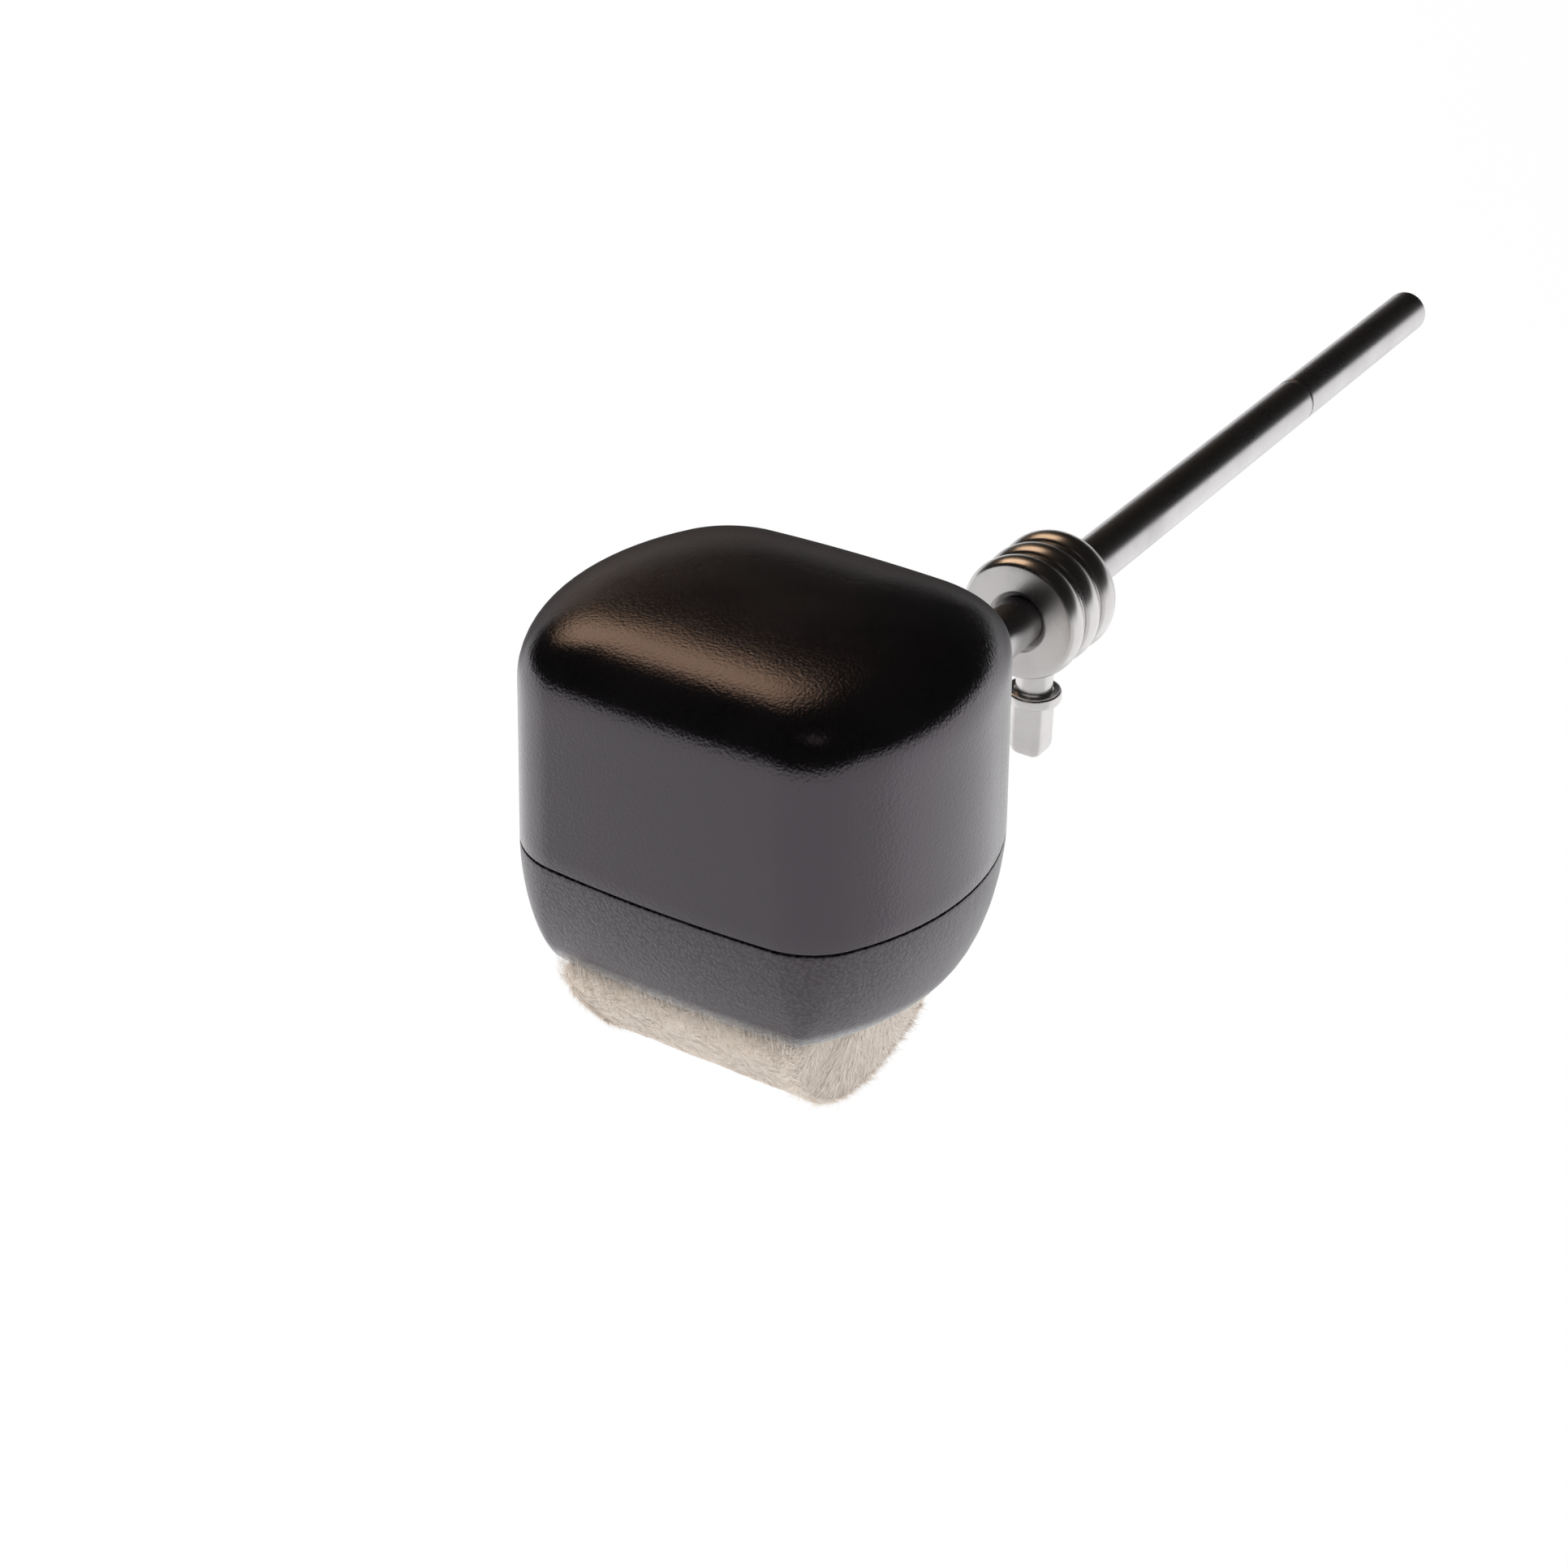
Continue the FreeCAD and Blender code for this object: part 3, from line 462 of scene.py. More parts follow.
def spread(tree, value, low, high, new_low=0.0, new_high=1.0, ease="LINEAR"):
    """Map a value from one range to another, clamped."""
    node = add_node(tree, "ShaderNodeMapRange", interpolation_type=ease, Value=value)
    set_inputs(tree, node, From_Min=low, From_Max=high, To_Min=new_low, To_Max=new_high)
    return node.outputs["Result"]


def mix_colours(tree, factor, first, second):
    """Mix two colours, each a socket or a colour, by a factor socket."""
    node = add_node(tree, "ShaderNodeMix", data_type="RGBA", Factor=factor)
    for label, operand in (("A", first), ("B", second)):
        feed(tree, operand, next(s for s in node.inputs if s.name == label and s.type == "RGBA"))
    return next(s for s in node.outputs if s.type == "RGBA")


def noise_value(tree, vector, scale, **settings):
    """Value of a noise texture on a vector, at a scale that is a socket or a number."""
    return add_node(tree, "ShaderNodeTexNoise", Vector=vector, Scale=scale, **settings).outputs["Fac"]


def node_group(name, rates, outputs):
    """Start a shader node group with a vector and rates per metre as inputs, and values as outputs."""
    group = bpy.data.node_groups.new(name, "ShaderNodeTree")
    group.interface.new_socket(name="Vector", in_out="INPUT", socket_type="NodeSocketVector")
    for label, default in rates.items():
        socket = group.interface.new_socket(name=label, in_out="INPUT", socket_type="NodeSocketFloat")
        socket.default_value = default
    for label in outputs:
        group.interface.new_socket(name=label, in_out="OUTPUT", socket_type="NodeSocketFloat")
    return group, group.nodes.new("NodeGroupInput").outputs, group.nodes.new("NodeGroupOutput")


def moulded_grain():
    """Group: fine pebbled grain of a moulded surface, and the tone of its handled patches."""
    rates = {"Grain per metre": 2400.0, "Patch per metre": 70.0}
    group, entry, end = node_group("Moulded grain", rates, ("Height", "Patch"))
    vector = entry["Vector"]
    grain = entry["Grain per metre"]
    pebble = add_node(
        group, "ShaderNodeTexVoronoi", feature="SMOOTH_F1", Vector=vector, Scale=grain, Smoothness=0.6
    )
    grit = noise_value(group, vector, grain, Detail=4.0, Roughness=0.6)
    patch = noise_value(group, vector, entry["Patch per metre"], Detail=3.0, Roughness=0.55)
    raised = math_node(group, "SUBTRACT", 1.0, pebble.outputs["Distance"])
    height = math_node(group, "ADD", math_node(group, "MULTIPLY", raised, 0.6), grit)
    set_inputs(group, end, Height=height, Patch=spread(group, patch, 0.38, 0.68))
    return group


def handled_metal():
    """Group: film of handling and fine polishing lines round a metal surface."""
    rates = {"Lines per metre": 5000.0, "Film per metre": 90.0}
    group, entry, end = node_group("Handled metal", rates, ("Film", "Lines"))
    film = noise_value(group, entry["Vector"], entry["Film per metre"], Detail=5.0, Roughness=0.6)
    drawn = add_node(group, "ShaderNodeMapping", Vector=entry["Vector"], Scale=(0.08, 0.08, 1.0))
    lines = noise_value(
        group, drawn.outputs["Vector"], entry["Lines per metre"], Detail=2.0, Roughness=0.5
    )
    set_inputs(group, end, Film=spread(group, film, 0.4, 0.72), Lines=lines)
    return group


def tufted_fibre():
    """Group: mottle of matted fibre in two tones, and the height of its strands."""
    rates = {"Mottle per metre": 260.0, "Strands per metre": 2600.0}
    group, entry, end = node_group("Tufted fibre", rates, ("Tone", "Height"))
    mottle = noise_value(
        group, entry["Vector"], entry["Mottle per metre"], Detail=4.0, Roughness=0.6, Distortion=0.8
    )
    drawn = add_node(group, "ShaderNodeMapping", Vector=entry["Vector"], Scale=(0.22, 1.0, 1.0))
    strands = noise_value(
        group, drawn.outputs["Vector"], entry["Strands per metre"], Detail=3.0, Roughness=0.65, Distortion=0.5
    )
    tone = weighted_sum(group, mottle, 0.7, strands, 0.3)
    set_inputs(group, end, Tone=spread(group, tone, 0.34, 0.66), Height=strands)
    return group


def use_group(tree, name, make, place, **values):
    """Outputs of a node group in a material, built at its first use, with this material's own values."""
    node = add_node(tree, "ShaderNodeGroup", node_tree=bpy.data.node_groups.get(name) or make())
    set_inputs(tree, node, Vector=place, **values)
    return node.outputs


def new_material(name):
    """A material with its tree, its Principled shader and its Object coordinates."""
    material = bpy.data.materials.new(name)
    material.use_nodes = True
    tree = material.node_tree
    place = add_node(tree, "ShaderNodeTexCoord").outputs["Object"]
    return material, tree, tree.nodes["Principled BSDF"], place


def bump(tree, height, depth):
    """Normal of a surface that is raised by a height."""
    return add_node(tree, "ShaderNodeBump", Strength=1.0, Distance=depth, Height=height).outputs["Normal"]


def depth_behind(tree, place):
    """Depth of a surface behind the rod's axis."""
    return add_node(tree, "ShaderNodeSeparateXYZ", Vector=place).outputs["Y"]


def lint_edge(tree, place, height, start, stop):
    """Mask of the lint on the curve that ends in a rim: most near the rim, whose flat face stays clean."""
    depth = depth_behind(tree, place)
    close = math_node(tree, "POWER", spread(tree, depth, -start, -stop), 1.2)
    clean = spread(tree, depth, 0.06 * MM - stop, 0.01 * MM - stop, 1.0, 0.0)
    caught = spread(tree, height, 0.6, 1.2, 0.35, 1.0)
    return math_node(tree, "MULTIPLY", math_node(tree, "MULTIPLY", close, clean), caught)


def edge_on_haze(tree, place, start, stop, most):
    """Roughness that the pebbles of a crown add where it is seen edge-on, from one depth to another."""
    facing = add_node(tree, "ShaderNodeLayerWeight").outputs["Facing"]
    high = spread(tree, depth_behind(tree, place), start, stop, ease="SMOOTHSTEP")
    return math_node(tree, "MULTIPLY", high, spread(tree, facing, 0.5, 0.9, 0.0, most, ease="SMOOTHSTEP"))


def moulded_plastic(
    name, plain, handled, raised, gloss, *, grain, rough, depth, shine=0.5, lint=None, haze=None
):
    """Moulded plastic with a pebbled grain and softly rubbed patches.

    Lint is the depths where dust starts and stops, and its tint. Haze is the depths where a crown's
    haze starts and is full, and its most.
    """
    material, tree, shader, place = new_material(name)
    surface = use_group(tree, "Moulded grain", moulded_grain, place, Grain_per_metre=grain)
    height = surface["Height"]
    patch = surface["Patch"]
    rubbed = mix_colours(tree, patch, plain, handled)
    base = mix_colours(tree, spread(tree, height, 0.65, 1.15), rubbed, raised)
    if lint:
        start, stop, tint = lint
        base = mix_colours(tree, lint_edge(tree, place, height, start, stop), base, tint)
    roughness = spread(tree, patch, 0, 1, *rough)
    if haze:
        roughness = math_node(tree, "ADD", roughness, edge_on_haze(tree, place, *haze))
    set_inputs(tree, shader, Base_Color=base, Roughness=roughness, Normal=bump(tree, height, depth))
    set_inputs(tree, shader, Specular_IOR_Level=shine, IOR=1.75, Specular_Tint=gloss)
    return material


def plated_metal(name, bright, smeared, *, rough, lines, depth):
    """Metal with a film of handling and fine polishing lines."""
    material, tree, shader, place = new_material(name)
    surface = use_group(tree, "Handled metal", handled_metal, place, Lines_per_metre=lines)
    film = surface["Film"]
    base = mix_colours(tree, film, bright, smeared)
    roughness = spread(tree, film, 0, 1, *rough)
    normal = bump(tree, surface["Lines"], depth)
    set_inputs(tree, shader, Metallic=1.0, Base_Color=base, Roughness=roughness, Normal=normal)
    return material


def matted_fibre(name, light, dark, *, depth, strands=2600.0, mottle=260.0, sheen=0.25):
    """Wool, skin or wood: two tones of fibre, and a soft sheen unless it is 0."""
    material, tree, shader, place = new_material(name)
    rates = {"Strands_per_metre": strands, "Mottle_per_metre": mottle}
    surface = use_group(tree, "Tufted fibre", tufted_fibre, place, **rates)
    base = mix_colours(tree, surface["Tone"], dark, light)
    roughness = spread(tree, surface["Tone"], 0, 1, 0.95, 0.85)
    normal = bump(tree, surface["Height"], depth)
    set_inputs(tree, shader, Base_Color=base, Roughness=roughness, Normal=normal)
    set_inputs(tree, shader, Sheen_Weight=sheen, Sheen_Roughness=0.4, Specular_IOR_Level=0.15)
    return material


def fibre_material(name, light, dark):
    """Loose wool fibres, each with its own tone over the pad's mottle."""
    material, tree, shader, place = new_material(name)
    surface = use_group(tree, "Tufted fibre", tufted_fibre, place)
    own = add_node(tree, "ShaderNodeAttribute", attribute_name="fibre_tone").outputs["Fac"]
    tone = weighted_sum(tree, surface["Tone"], 0.5, own, 0.5)
    base = mix_colours(tree, tone, dark, light)
    set_inputs(tree, shader, Base_Color=base, Roughness=spread(tree, tone, 0, 1, 0.9, 0.7))
    set_inputs(tree, shader, Specular_IOR_Level=0.2, Sheen_Weight=0.2)
    return material


# The moulded head.

# Pairs (depth past the parting line, inset) that round an edge there.
PARTING_EDGE = ((0.15 * MM, 0.0), (0.07 * MM, 0.02 * MM), (0.02 * MM, 0.06 * MM), (0.0, 0.12 * MM))


def head_ring(head, depth, side_inset, end_inset, corner_radius, scale=1.0):
    """A ring of the head at a depth behind the rod's axis, drawn in from the parting outline and scaled."""
    outline = barrel(
        head.half_width - side_inset,
        head.half_length - end_inset,
        head.side_bulge - side_inset,
        head.end_bulge - end_inset,
        corner_radius,
    )
    return [(x * scale, depth, head.centre + z * scale) for x, z in outline]


def crown_rings(head, inset, steps):
    """Rings of the shell's crown, from near its middle to the top of the wall."""
    crowding = 1.25
    corner_start = 0.6
    height = head.crown - head.dome_start - inset
    drawn_in = math.tan(head.draft) * head.dome_start + inset
    squareness = 2 / head.dome_power
    rings = []
    for step in range(1, steps + 1):
        turn = math.pi / 2 * (step / steps) ** crowding
        scale = math.sin(turn) ** squareness
        depth = head.dome_start + height * max(math.cos(turn), 0.0) ** squareness
        growth = 1 - held_share((scale - corner_start) / (1 - corner_start)) ** 2
        corner = head.corner + (head.crown_corner - head.corner) * growth - inset
        rings.append(head_ring(head, depth, drawn_in, drawn_in, corner, scale))
    return rings


def wall_rings(head, inset, depths):
    """Rings of the shell's drafted wall at the given depths."""
    rings = []
    for depth in depths:
        drawn_in = math.tan(head.draft) * depth + inset
        rings.append(head_ring(head, depth, drawn_in, drawn_in, head.corner - inset))
    return rings


def cut_boss_hole(head, piece):
    """Cut the hole through the head's lower end that the hub's boss passes."""
    length = 12 * MM
    middle = head.centre - head.half_length + 1 * MM
    join_by(piece, cylinder_form(head.boss_hole, length, (0, 0, middle)), "DIFFERENCE")


class BEATER_OT_rear_shell(bpy.types.Operator):
    """Model the domed back of the head as a walled shell"""

    bl_idname = "beater.rear_shell"
    bl_label = "Rear Shell"

    def execute(self, context):
        head = context.scene.beater_head
        finishes = context.scene.beater_finishes
        edge = head.parting / 2
        soft = 0.2 * MM
        outside = [head.dome_start * part for part in (0.85, 0.7, 0.55, 0.4, 0.25, 0.12)]
        inside = [head.dome_start * part for part in (0.1, 0.3, 0.5, 0.7, 0.85)]
        rings = crown_rings(head, 0.0, steps=40) + wall_rings(head, 0.0, outside)
        for past, inset in PARTING_EDGE:
            rings += wall_rings(head, inset, [edge + past])
        rings += wall_rings(head, head.wall - soft, [edge])
        rings += wall_rings(head, head.wall, [edge + soft, *inside])
        rings += crown_rings(head, head.wall, steps=24)[::-1]
        shell = ring_piece("head_shell", rings)
        cut_boss_hole(head, shell)
        smooth(shell)
        material = moulded_plastic(
            "Satin black plastic",
            finishes.plastic,
            finishes.plastic_worn,
            finishes.plastic_worn,
            finishes.plastic_gloss,
            grain=2300.0,
            rough=(0.18, 0.22),
            depth=0.04 * MM,
            haze=(head.dome_start + 3 * MM, head.crown - 4 * MM, 0.62),
        )
        dress(shell, "beater", "shell_plastic", material, "rear_shell")
        return {"FINISHED"}


def bezel_ring(head, depth, inset=0.0):
    """A ring of the bezel's outside at a depth in front of the rod's axis."""
    along = depth / (head.bezel_depth + head.bezel_rest)
    turn = 1 - (1 - along**head.bezel_power) ** (1 / head.bezel_power)
    corner = head.corner + (head.rim_corner - head.corner) * (depth / head.bezel_depth) - inset
    return head_ring(head, -depth, head.side_sweep * turn + inset, head.end_sweep * turn + inset, corner)


def recess_ring(head, depth, inset=0.0, scale=1.0):
    """A ring of the bezel's recess at a depth in front of the rod's axis."""
    half_width = head.recess_half_width - inset
    half_length = head.recess_half_length - inset
    outline = box_outline(half_width, half_length, head.recess_corner - inset)
    return [(x * scale, -depth, head.centre + z * scale) for x, z in outline]


def tray_ring(head, depth, inset, scale=1.0):
    """A ring of the bezel's tray or lip at a depth behind the rod's axis."""
    return head_ring(head, depth, inset, inset, head.corner - inset, scale)


class BEATER_OT_front_bezel(bpy.types.Operator):
    """Model the front of the head with its locating lip, its rim and the recess for the pad"""

    bl_idname = "beater.front_bezel"
    bl_label = "Front Bezel"

    def execute(self, context):
        head = context.scene.beater_head
        finishes = context.scene.beater_finishes
        bezel = ring_piece("head_bezel", self.inner_rings(head) + self.outer_rings(head))
        cut_boss_hole(head, bezel)
        smooth(bezel)
        material = moulded_plastic(
            "Grained black plastic",
            finishes.plastic,
            finishes.plastic_worn,
            finishes.plastic_raised,
            finishes.plastic_gloss,
            grain=2000.0,
            rough=(0.3, 0.36),
            depth=0.085 * MM,
            shine=0.46,
            lint=(head.bezel_depth - head.lint_reach, head.bezel_depth, finishes.lint),
        )
        dress(bezel, "beater", "bezel_plastic", material, "front_bezel")
        return {"FINISHED"}

    def inner_rings(self, head):
        """Rings from the middle of the tray over the locating lip to the land at the parting line."""
        edge = head.parting / 2
        soft = 0.25 * MM
        land = 0.8 * edge
        floor = -head.tray_floor
        top = head.lip_height
        outer = head.lip_inset
        inner = outer + head.lip_thick
        rings = [tray_ring(head, floor, inner, scale) for scale in (0.2, 0.6, 0.98)]
        rings += [tray_ring(head, depth, inner) for depth in (soft + floor, top - soft)]
        rings += [tray_ring(head, top, inset) for inset in (inner - soft, outer + soft)]
        rings += [tray_ring(head, depth, outer) for depth in (top - soft, land)]
        return rings + [tray_ring(head, land, 0.8 * MM), tray_ring(head, -edge, 0.7 * MM)]

    def outer_rings(self, head):
        """Rings from the parting line over the curve and the rim to the middle of the recess."""
        edge = head.parting / 2
        rim = head.bezel_depth
        floor = head.recess_floor
        soft = 0.25 * MM
        mouth = 0.15 * MM
        rim_drop = 0.08 * MM
        rim_reach = 0.3 * MM
        steps = 25
        crowding = 1.5
        rings = [bezel_ring(head, edge + past, inset) for past, inset in reversed(PARTING_EDGE)]
        for step in range(1, steps - 1):
            rings.append(bezel_ring(head, rim * (1 - (1 - step / steps) ** crowding)))
        for turn in map(math.radians, (0, 22, 45, 68, 90)):
            depth = rim - rim_drop * (1 - math.sin(turn))
            rings.append(bezel_ring(head, depth, rim_reach * (1 - math.cos(turn))))
        rings += [recess_ring(head, rim, -mouth), recess_ring(head, rim - mouth)]
        rings += [recess_ring(head, depth) for depth in (rim - 3 * MM, floor + soft)]
        return rings + [recess_ring(head, floor, soft, scale) for scale in (1.0, 0.5, 0.15)]


# The wool pad.


def wool_profile(wool, head, inset):
    """Points (y, z) round the pad's half-round section, drawn in by an inset, and along its flat back."""
    rim = head.bezel_depth + 0.3 * MM
    swell = 1.2 * MM
    bulge_middle = 2.2 * MM
    bulge_reach = 6 * MM
    arc_steps = 72
    back_steps = 23
    neck = wool.half_length - inset
    reach = wool.radius - inset
    points = []
    for step in range(arc_steps + 1):
        turn = math.pi * (step / arc_steps - 0.5)
        depth = wool.axis_depth + reach * math.cos(turn)
        length = reach * math.sin(turn)
        inside = held_share((rim + swell - depth) / swell)
        bulge = wool.overhang * max(0.0, 1 - abs(depth - rim - bulge_middle) / bulge_reach)
        length += math.copysign(bulge, length) * (1 - inside)
        limit = neck + (1 - inside) * (reach - neck + bulge)
        points.append((-depth, max(-limit, min(limit, length))))
    back = -wool.axis_depth - inset * 0.2
    end = points[arc_steps][1]
    for step in range(1, back_steps + 1):
        points.append((back, end * (1 - 2 * step / (back_steps + 1))))
    return points


def wool_point(wool, head, x, y, z):
    """A point of the pad, widened where the wool bulges over the rim on its two ends."""
    clear = 0.3 * MM
    swell = 1.4 * MM
    fall = 18 * MM
    past = -y - head.bezel_depth
    free = held_share((past - clear) / swell)
    bulge = wool.side_bulge * free * (1 - max(0.0, past) / fall)
    return (x * (1 + bulge / wool.half_width), y, head.centre + z)


def end_stations(edge):
    """Pairs (distance from an end, inset) that round an end of the pad."""
    turns = [math.radians(15 * step) for step in range(7)]
    return [(edge * (1 - math.cos(turn)), edge * (1 - math.sin(turn))) for turn in turns]


def end_rings(wool, head, place, edge):
    """Rings that close an end of the pad, from its middle to its rounding."""
    middle = -wool.axis_depth - 8 * MM
    profile = wool_profile(wool, head, edge)
    rings = []
    for scale in (0.1, 0.3, 0.5, 0.7, 0.86):
        shrunk = [(middle + (y - middle) * scale, z * scale) for y, z in profile]
        rings.append([wool_point(wool, head, place, y, z) for y, z in shrunk])
    return rings


def wool_rings(wool, head):
    """Rings of the pad from its left end to its right end, rounded where the ends meet the half-round."""
    steps = 36
    half = wool.half_width
    left = [(away - half, inset) for away, inset in end_stations(wool.left_round)]
    right = [(half - away, inset) for away, inset in reversed(end_stations(wool.right_round))]
    start = left[-1][0]
    stop = right[0][0]
    middle = [(start + (stop - start) * step / steps, 0.0) for step in range(1, steps)]
    rings = end_rings(wool, head, -half, wool.left_round)
    for place, inset in left + middle + right:
        rings.append([wool_point(wool, head, place, y, z) for y, z in wool_profile(wool, head, inset)])
    return rings + end_rings(wool, head, half, wool.right_round)[::-1]


def raise_lumps(piece, wool, head):
    """Push the pile in and out by soft lumps where it stands clear of the recess."""
    broad_per_metre = 160
    fine_per_metre = 520
    clear = -head.bezel_depth - 0.6 * MM
    swell = 3 * MM
    mesh = piece.data
    moved = []
    for vert in mesh.vertices:
        lump = noise.noise(vert.co * broad_per_metre) * 0.7 + noise.noise(vert.co * fine_per_metre) * 0.3
        free = held_share((clear - vert.co.y) / swell)
        moved.append(vert.co + vert.normal * lump * wool.lump * free)
    for vert, place in zip(mesh.vertices, moved):
        vert.co = place
    mesh.update()


def unit(vectors):
    """Rows of vectors at length 1."""
    return vectors / np.linalg.norm(vectors, axis=1, keepdims=True)


def flatten(vectors, normals):
    """Rows of vectors laid into the surface that has these normals."""
    return unit(vectors - normals * (vectors * normals).sum(axis=1, keepdims=True))


def waves(points, per_metre):
    """A smooth value between -1 and 1 at each point, which swirls through space."""
    x, y, z = (points * per_metre).T
    across = np.sin(1.3 * x + 2 * np.sin(0.9 * y + 0.7 * z))
    along = np.sin(1.1 * z + 2 * np.sin(0.8 * x + 1.2 * y))
    return (across + along) / 2


def ordered_triangles(mesh, places):
    """Corners of a mesh of quads cut into triangles, in an order that its vertices' places decide."""
    quads = np.empty(len(mesh.loops), dtype=np.int32)
    mesh.loops.foreach_get("vertex_index", quads)
    quads = quads.reshape(-1, 4)
    rank = places @ SORT_WAY
    first = rank[quads].argmin(axis=1)[:, None]
    quads = np.take_along_axis(quads, (first + np.arange(4)) % 4, axis=1)
    quads = quads[rank[quads].mean(axis=1).argsort()]
    return quads[:, [0, 1, 2, 0, 2, 3]].reshape(-1, 3)


def pile_roots(pad, count, draw, rim, way):
    """Points on one half of the pile in front of the rim, spread evenly by area, and the normals there."""
    mesh = pad.data
    places = np.empty(len(mesh.vertices) * 3)
    mesh.vertices.foreach_get("co", places)
    places = places.reshape(-1, 3)
    normals = np.empty(len(mesh.vertices) * 3)
    mesh.vertex_normals.foreach_get("vector", normals)
    corners = ordered_triangles(mesh, places)
    places = places[corners]
    normals = normals.reshape(-1, 3)[corners]
    middles = places.mean(axis=1)
    area = np.linalg.norm(np.cross(places[:, 1] - places[:, 0], places[:, 2] - places[:, 0]), axis=1)
    area *= (middles[:, 1] < rim) & (middles[:, 0] * way > 0)
    chosen = draw.choice(len(corners), size=count, p=area / area.sum())
    first, second = np.sort(draw.random((2, count)), axis=0)
    shares = np.stack((first, second - first, 1 - second), axis=1)[:, :, None]
    return (places[chosen] * shares).sum(axis=1), unit((normals[chosen] * shares).sum(axis=1))


def comb(roots, normals, centre, draw):
    """Directions in which fibres lie: along the half-round's axis, fanned on its two ends, with swirls."""
    broad_per_metre = 170
    fine_per_metre = 520
    along = np.zeros_like(roots)
    along[:, 0] = 1
    fan = roots - np.array(centre)
    fan[:, 0] = 0
    facing = np.clip(np.abs(normals[:, :1]) * 1.3, 0, 1)
    lie = flatten(along * (1 - facing) + unit(fan) * facing, normals)
    swirl = 0.6 * waves(roots, broad_per_metre) + 0.5 * waves(roots, fine_per_metre)
    swirl = (swirl + draw.normal(0, 0.4, len(roots)))[:, None]
    return lie * np.cos(swirl) + np.cross(normals, lie) * np.sin(swirl)


def nearest_tufts(roots, count, draw):
    """For each root, the number of the tuft's own root that lies nearest."""
    chosen = draw.choice(len(roots), size=count, replace=False)
    tree = KDTree(count)
    for number in chosen:
        tree.insert(roots[number], int(number))
    tree.balance()
    return np.array([tree.find(root)[1] for root in roots])


def ribbon_mesh(name, points, tones):
    """Mesh of ribbons of five points each, a quad and a tip, with one tone to each ribbon."""
    count, corners = points.shape[:2]
    starts = np.arange(count)[:, None] * corners
    quads = (starts + np.array([[0, 1, 2, 3]])).tolist()
    tips = (starts + np.array([[3, 2, 4]])).tolist()
    mesh = bpy.data.meshes.new(name)
    mesh.from_pydata(points.reshape(-1, 3).tolist(), [], quads + tips)
    attribute = mesh.attributes.new("fibre_tone", "FLOAT", "POINT")
    attribute.data.foreach_set("value", np.repeat(tones, corners))
    return mesh


def lay_fibres(name, pad, wool, head, way):
    """Lay tapered ribbons over one half of the pile, drawn into tufts, each with its tuft's tone."""
    draw = np.random.default_rng(wool.seed + way)
    rim = -head.bezel_depth + 0.1 * MM
    fan_centre = (0, -wool.axis_depth - 3 * MM, head.centre)
    fringe_middle = 2 * MM
    fringe_half = 1.5 * MM
    fringe_part = 0.3
    sunk = 0.05 * MM
    roots, normals = pile_roots(pad, wool.fibre_count, draw, rim, way)
    count = len(roots)
    column = (count, 1)
    lie = comb(roots, normals, fan_centre, draw)
    tuft = nearest_tufts(roots, wool.clump_count, draw)
    lie = flatten(lie[tuft] * 0.6 + lie * 0.4, normals)
    past = rim - roots[:, 1:2] - fringe_middle
    fringe = (np.abs(past) < fringe_half) * (draw.random(column) < fringe_part)
    length = wool.fibre_length * np.clip(draw.normal(1, 0.28, column), 0.35, 1.8) * (1 - 0.6 * fringe)
    lift = wool.fibre_lift * draw.uniform(0.2, 1.6, column) + wool.fringe_lift * fringe
    climb = wool.fringe_rise * fringe * draw.uniform(0.3, 1, column)
    rise = np.array([[0.0, 1.0, 0.0]]) * climb + normals * climb * 0.3
    pull = (roots[tuft] - roots) * 0.4
    side = np.cross(normals, lie)
    curl = side * draw.normal(0, 0.16, column) * length
    turn = draw.normal(0, 0.45, column)
    half = (side * np.cos(turn) + normals * np.sin(turn)) * wool.fibre_width / 2
    root = roots - normals * sunk
    middle = roots + lie * length * 0.5 + curl * 0.25 + pull * 0.5 + normals * lift * 0.85 + rise * 0.2
    tip = roots + lie * length + curl + pull + normals * lift + rise
    points = np.stack((root + half, root - half, middle - half * 0.75, middle + half * 0.75, tip), axis=1)
    tones = 0.65 * draw.random(count)[tuft] + 0.35 * draw.random(count)
    piece = bpy.data.objects.new(name, ribbon_mesh(name, points, tones))
    bpy.context.scene.collection.objects.link(piece)
    activate(piece)
    bpy.ops.object.shade_smooth()
    return piece


class BEATER_OT_wool_pad(bpy.types.Operator):
    """Model the half-round wool pad and lay its loose fibres"""

    bl_idname = "beater.wool_pad"
    bl_label = "Wool Pad"

    def execute(self, context):
        head = context.scene.beater_head
        wool = context.scene.beater_wool
        finishes = context.scene.beater_finishes
        pad = ring_piece("wool_pad", wool_rings(wool, head))
        apply_modifier(pad, "SUBSURF", levels=1, render_levels=1)
        raise_lumps(pad, wool, head)
        smooth(pad, 80)
        material = matted_fibre("Wool pile", finishes.wool_light, finishes.wool_dark, depth=0.08 * MM)
        dress(pad, "beater", "wool", material, "wool_pile")
        loose = fibre_material("Loose wool", finishes.wool_light, finishes.wool_dark)
        for name, way in (("wool_fibres_left", -1), ("wool_fibres_right", 1)):
            dress(lay_fibres(name, pad, wool, head, way), "beater", "wool", loose)
        return {"FINISHED"}


# The turned metal.


def turned_rings(profile, count=96):
    """Rings round the rod's axis for a profile of (radius, height) pairs."""
    return [[(x, y, height) for x, y in circle_outline(radius, count)] for radius, height in profile]


def rounded(start, corner, end, steps=4):
    """Points of a curve that rounds a corner between two points, the two points among them."""
    points = []
    for step in range(steps + 1):
        t = step / steps
        points.append(
            tuple((1 - t) ** 2 * s + 2 * t * (1 - t) * c + t * t * e for s, c, e in zip(start, corner, end))
        )
    return points


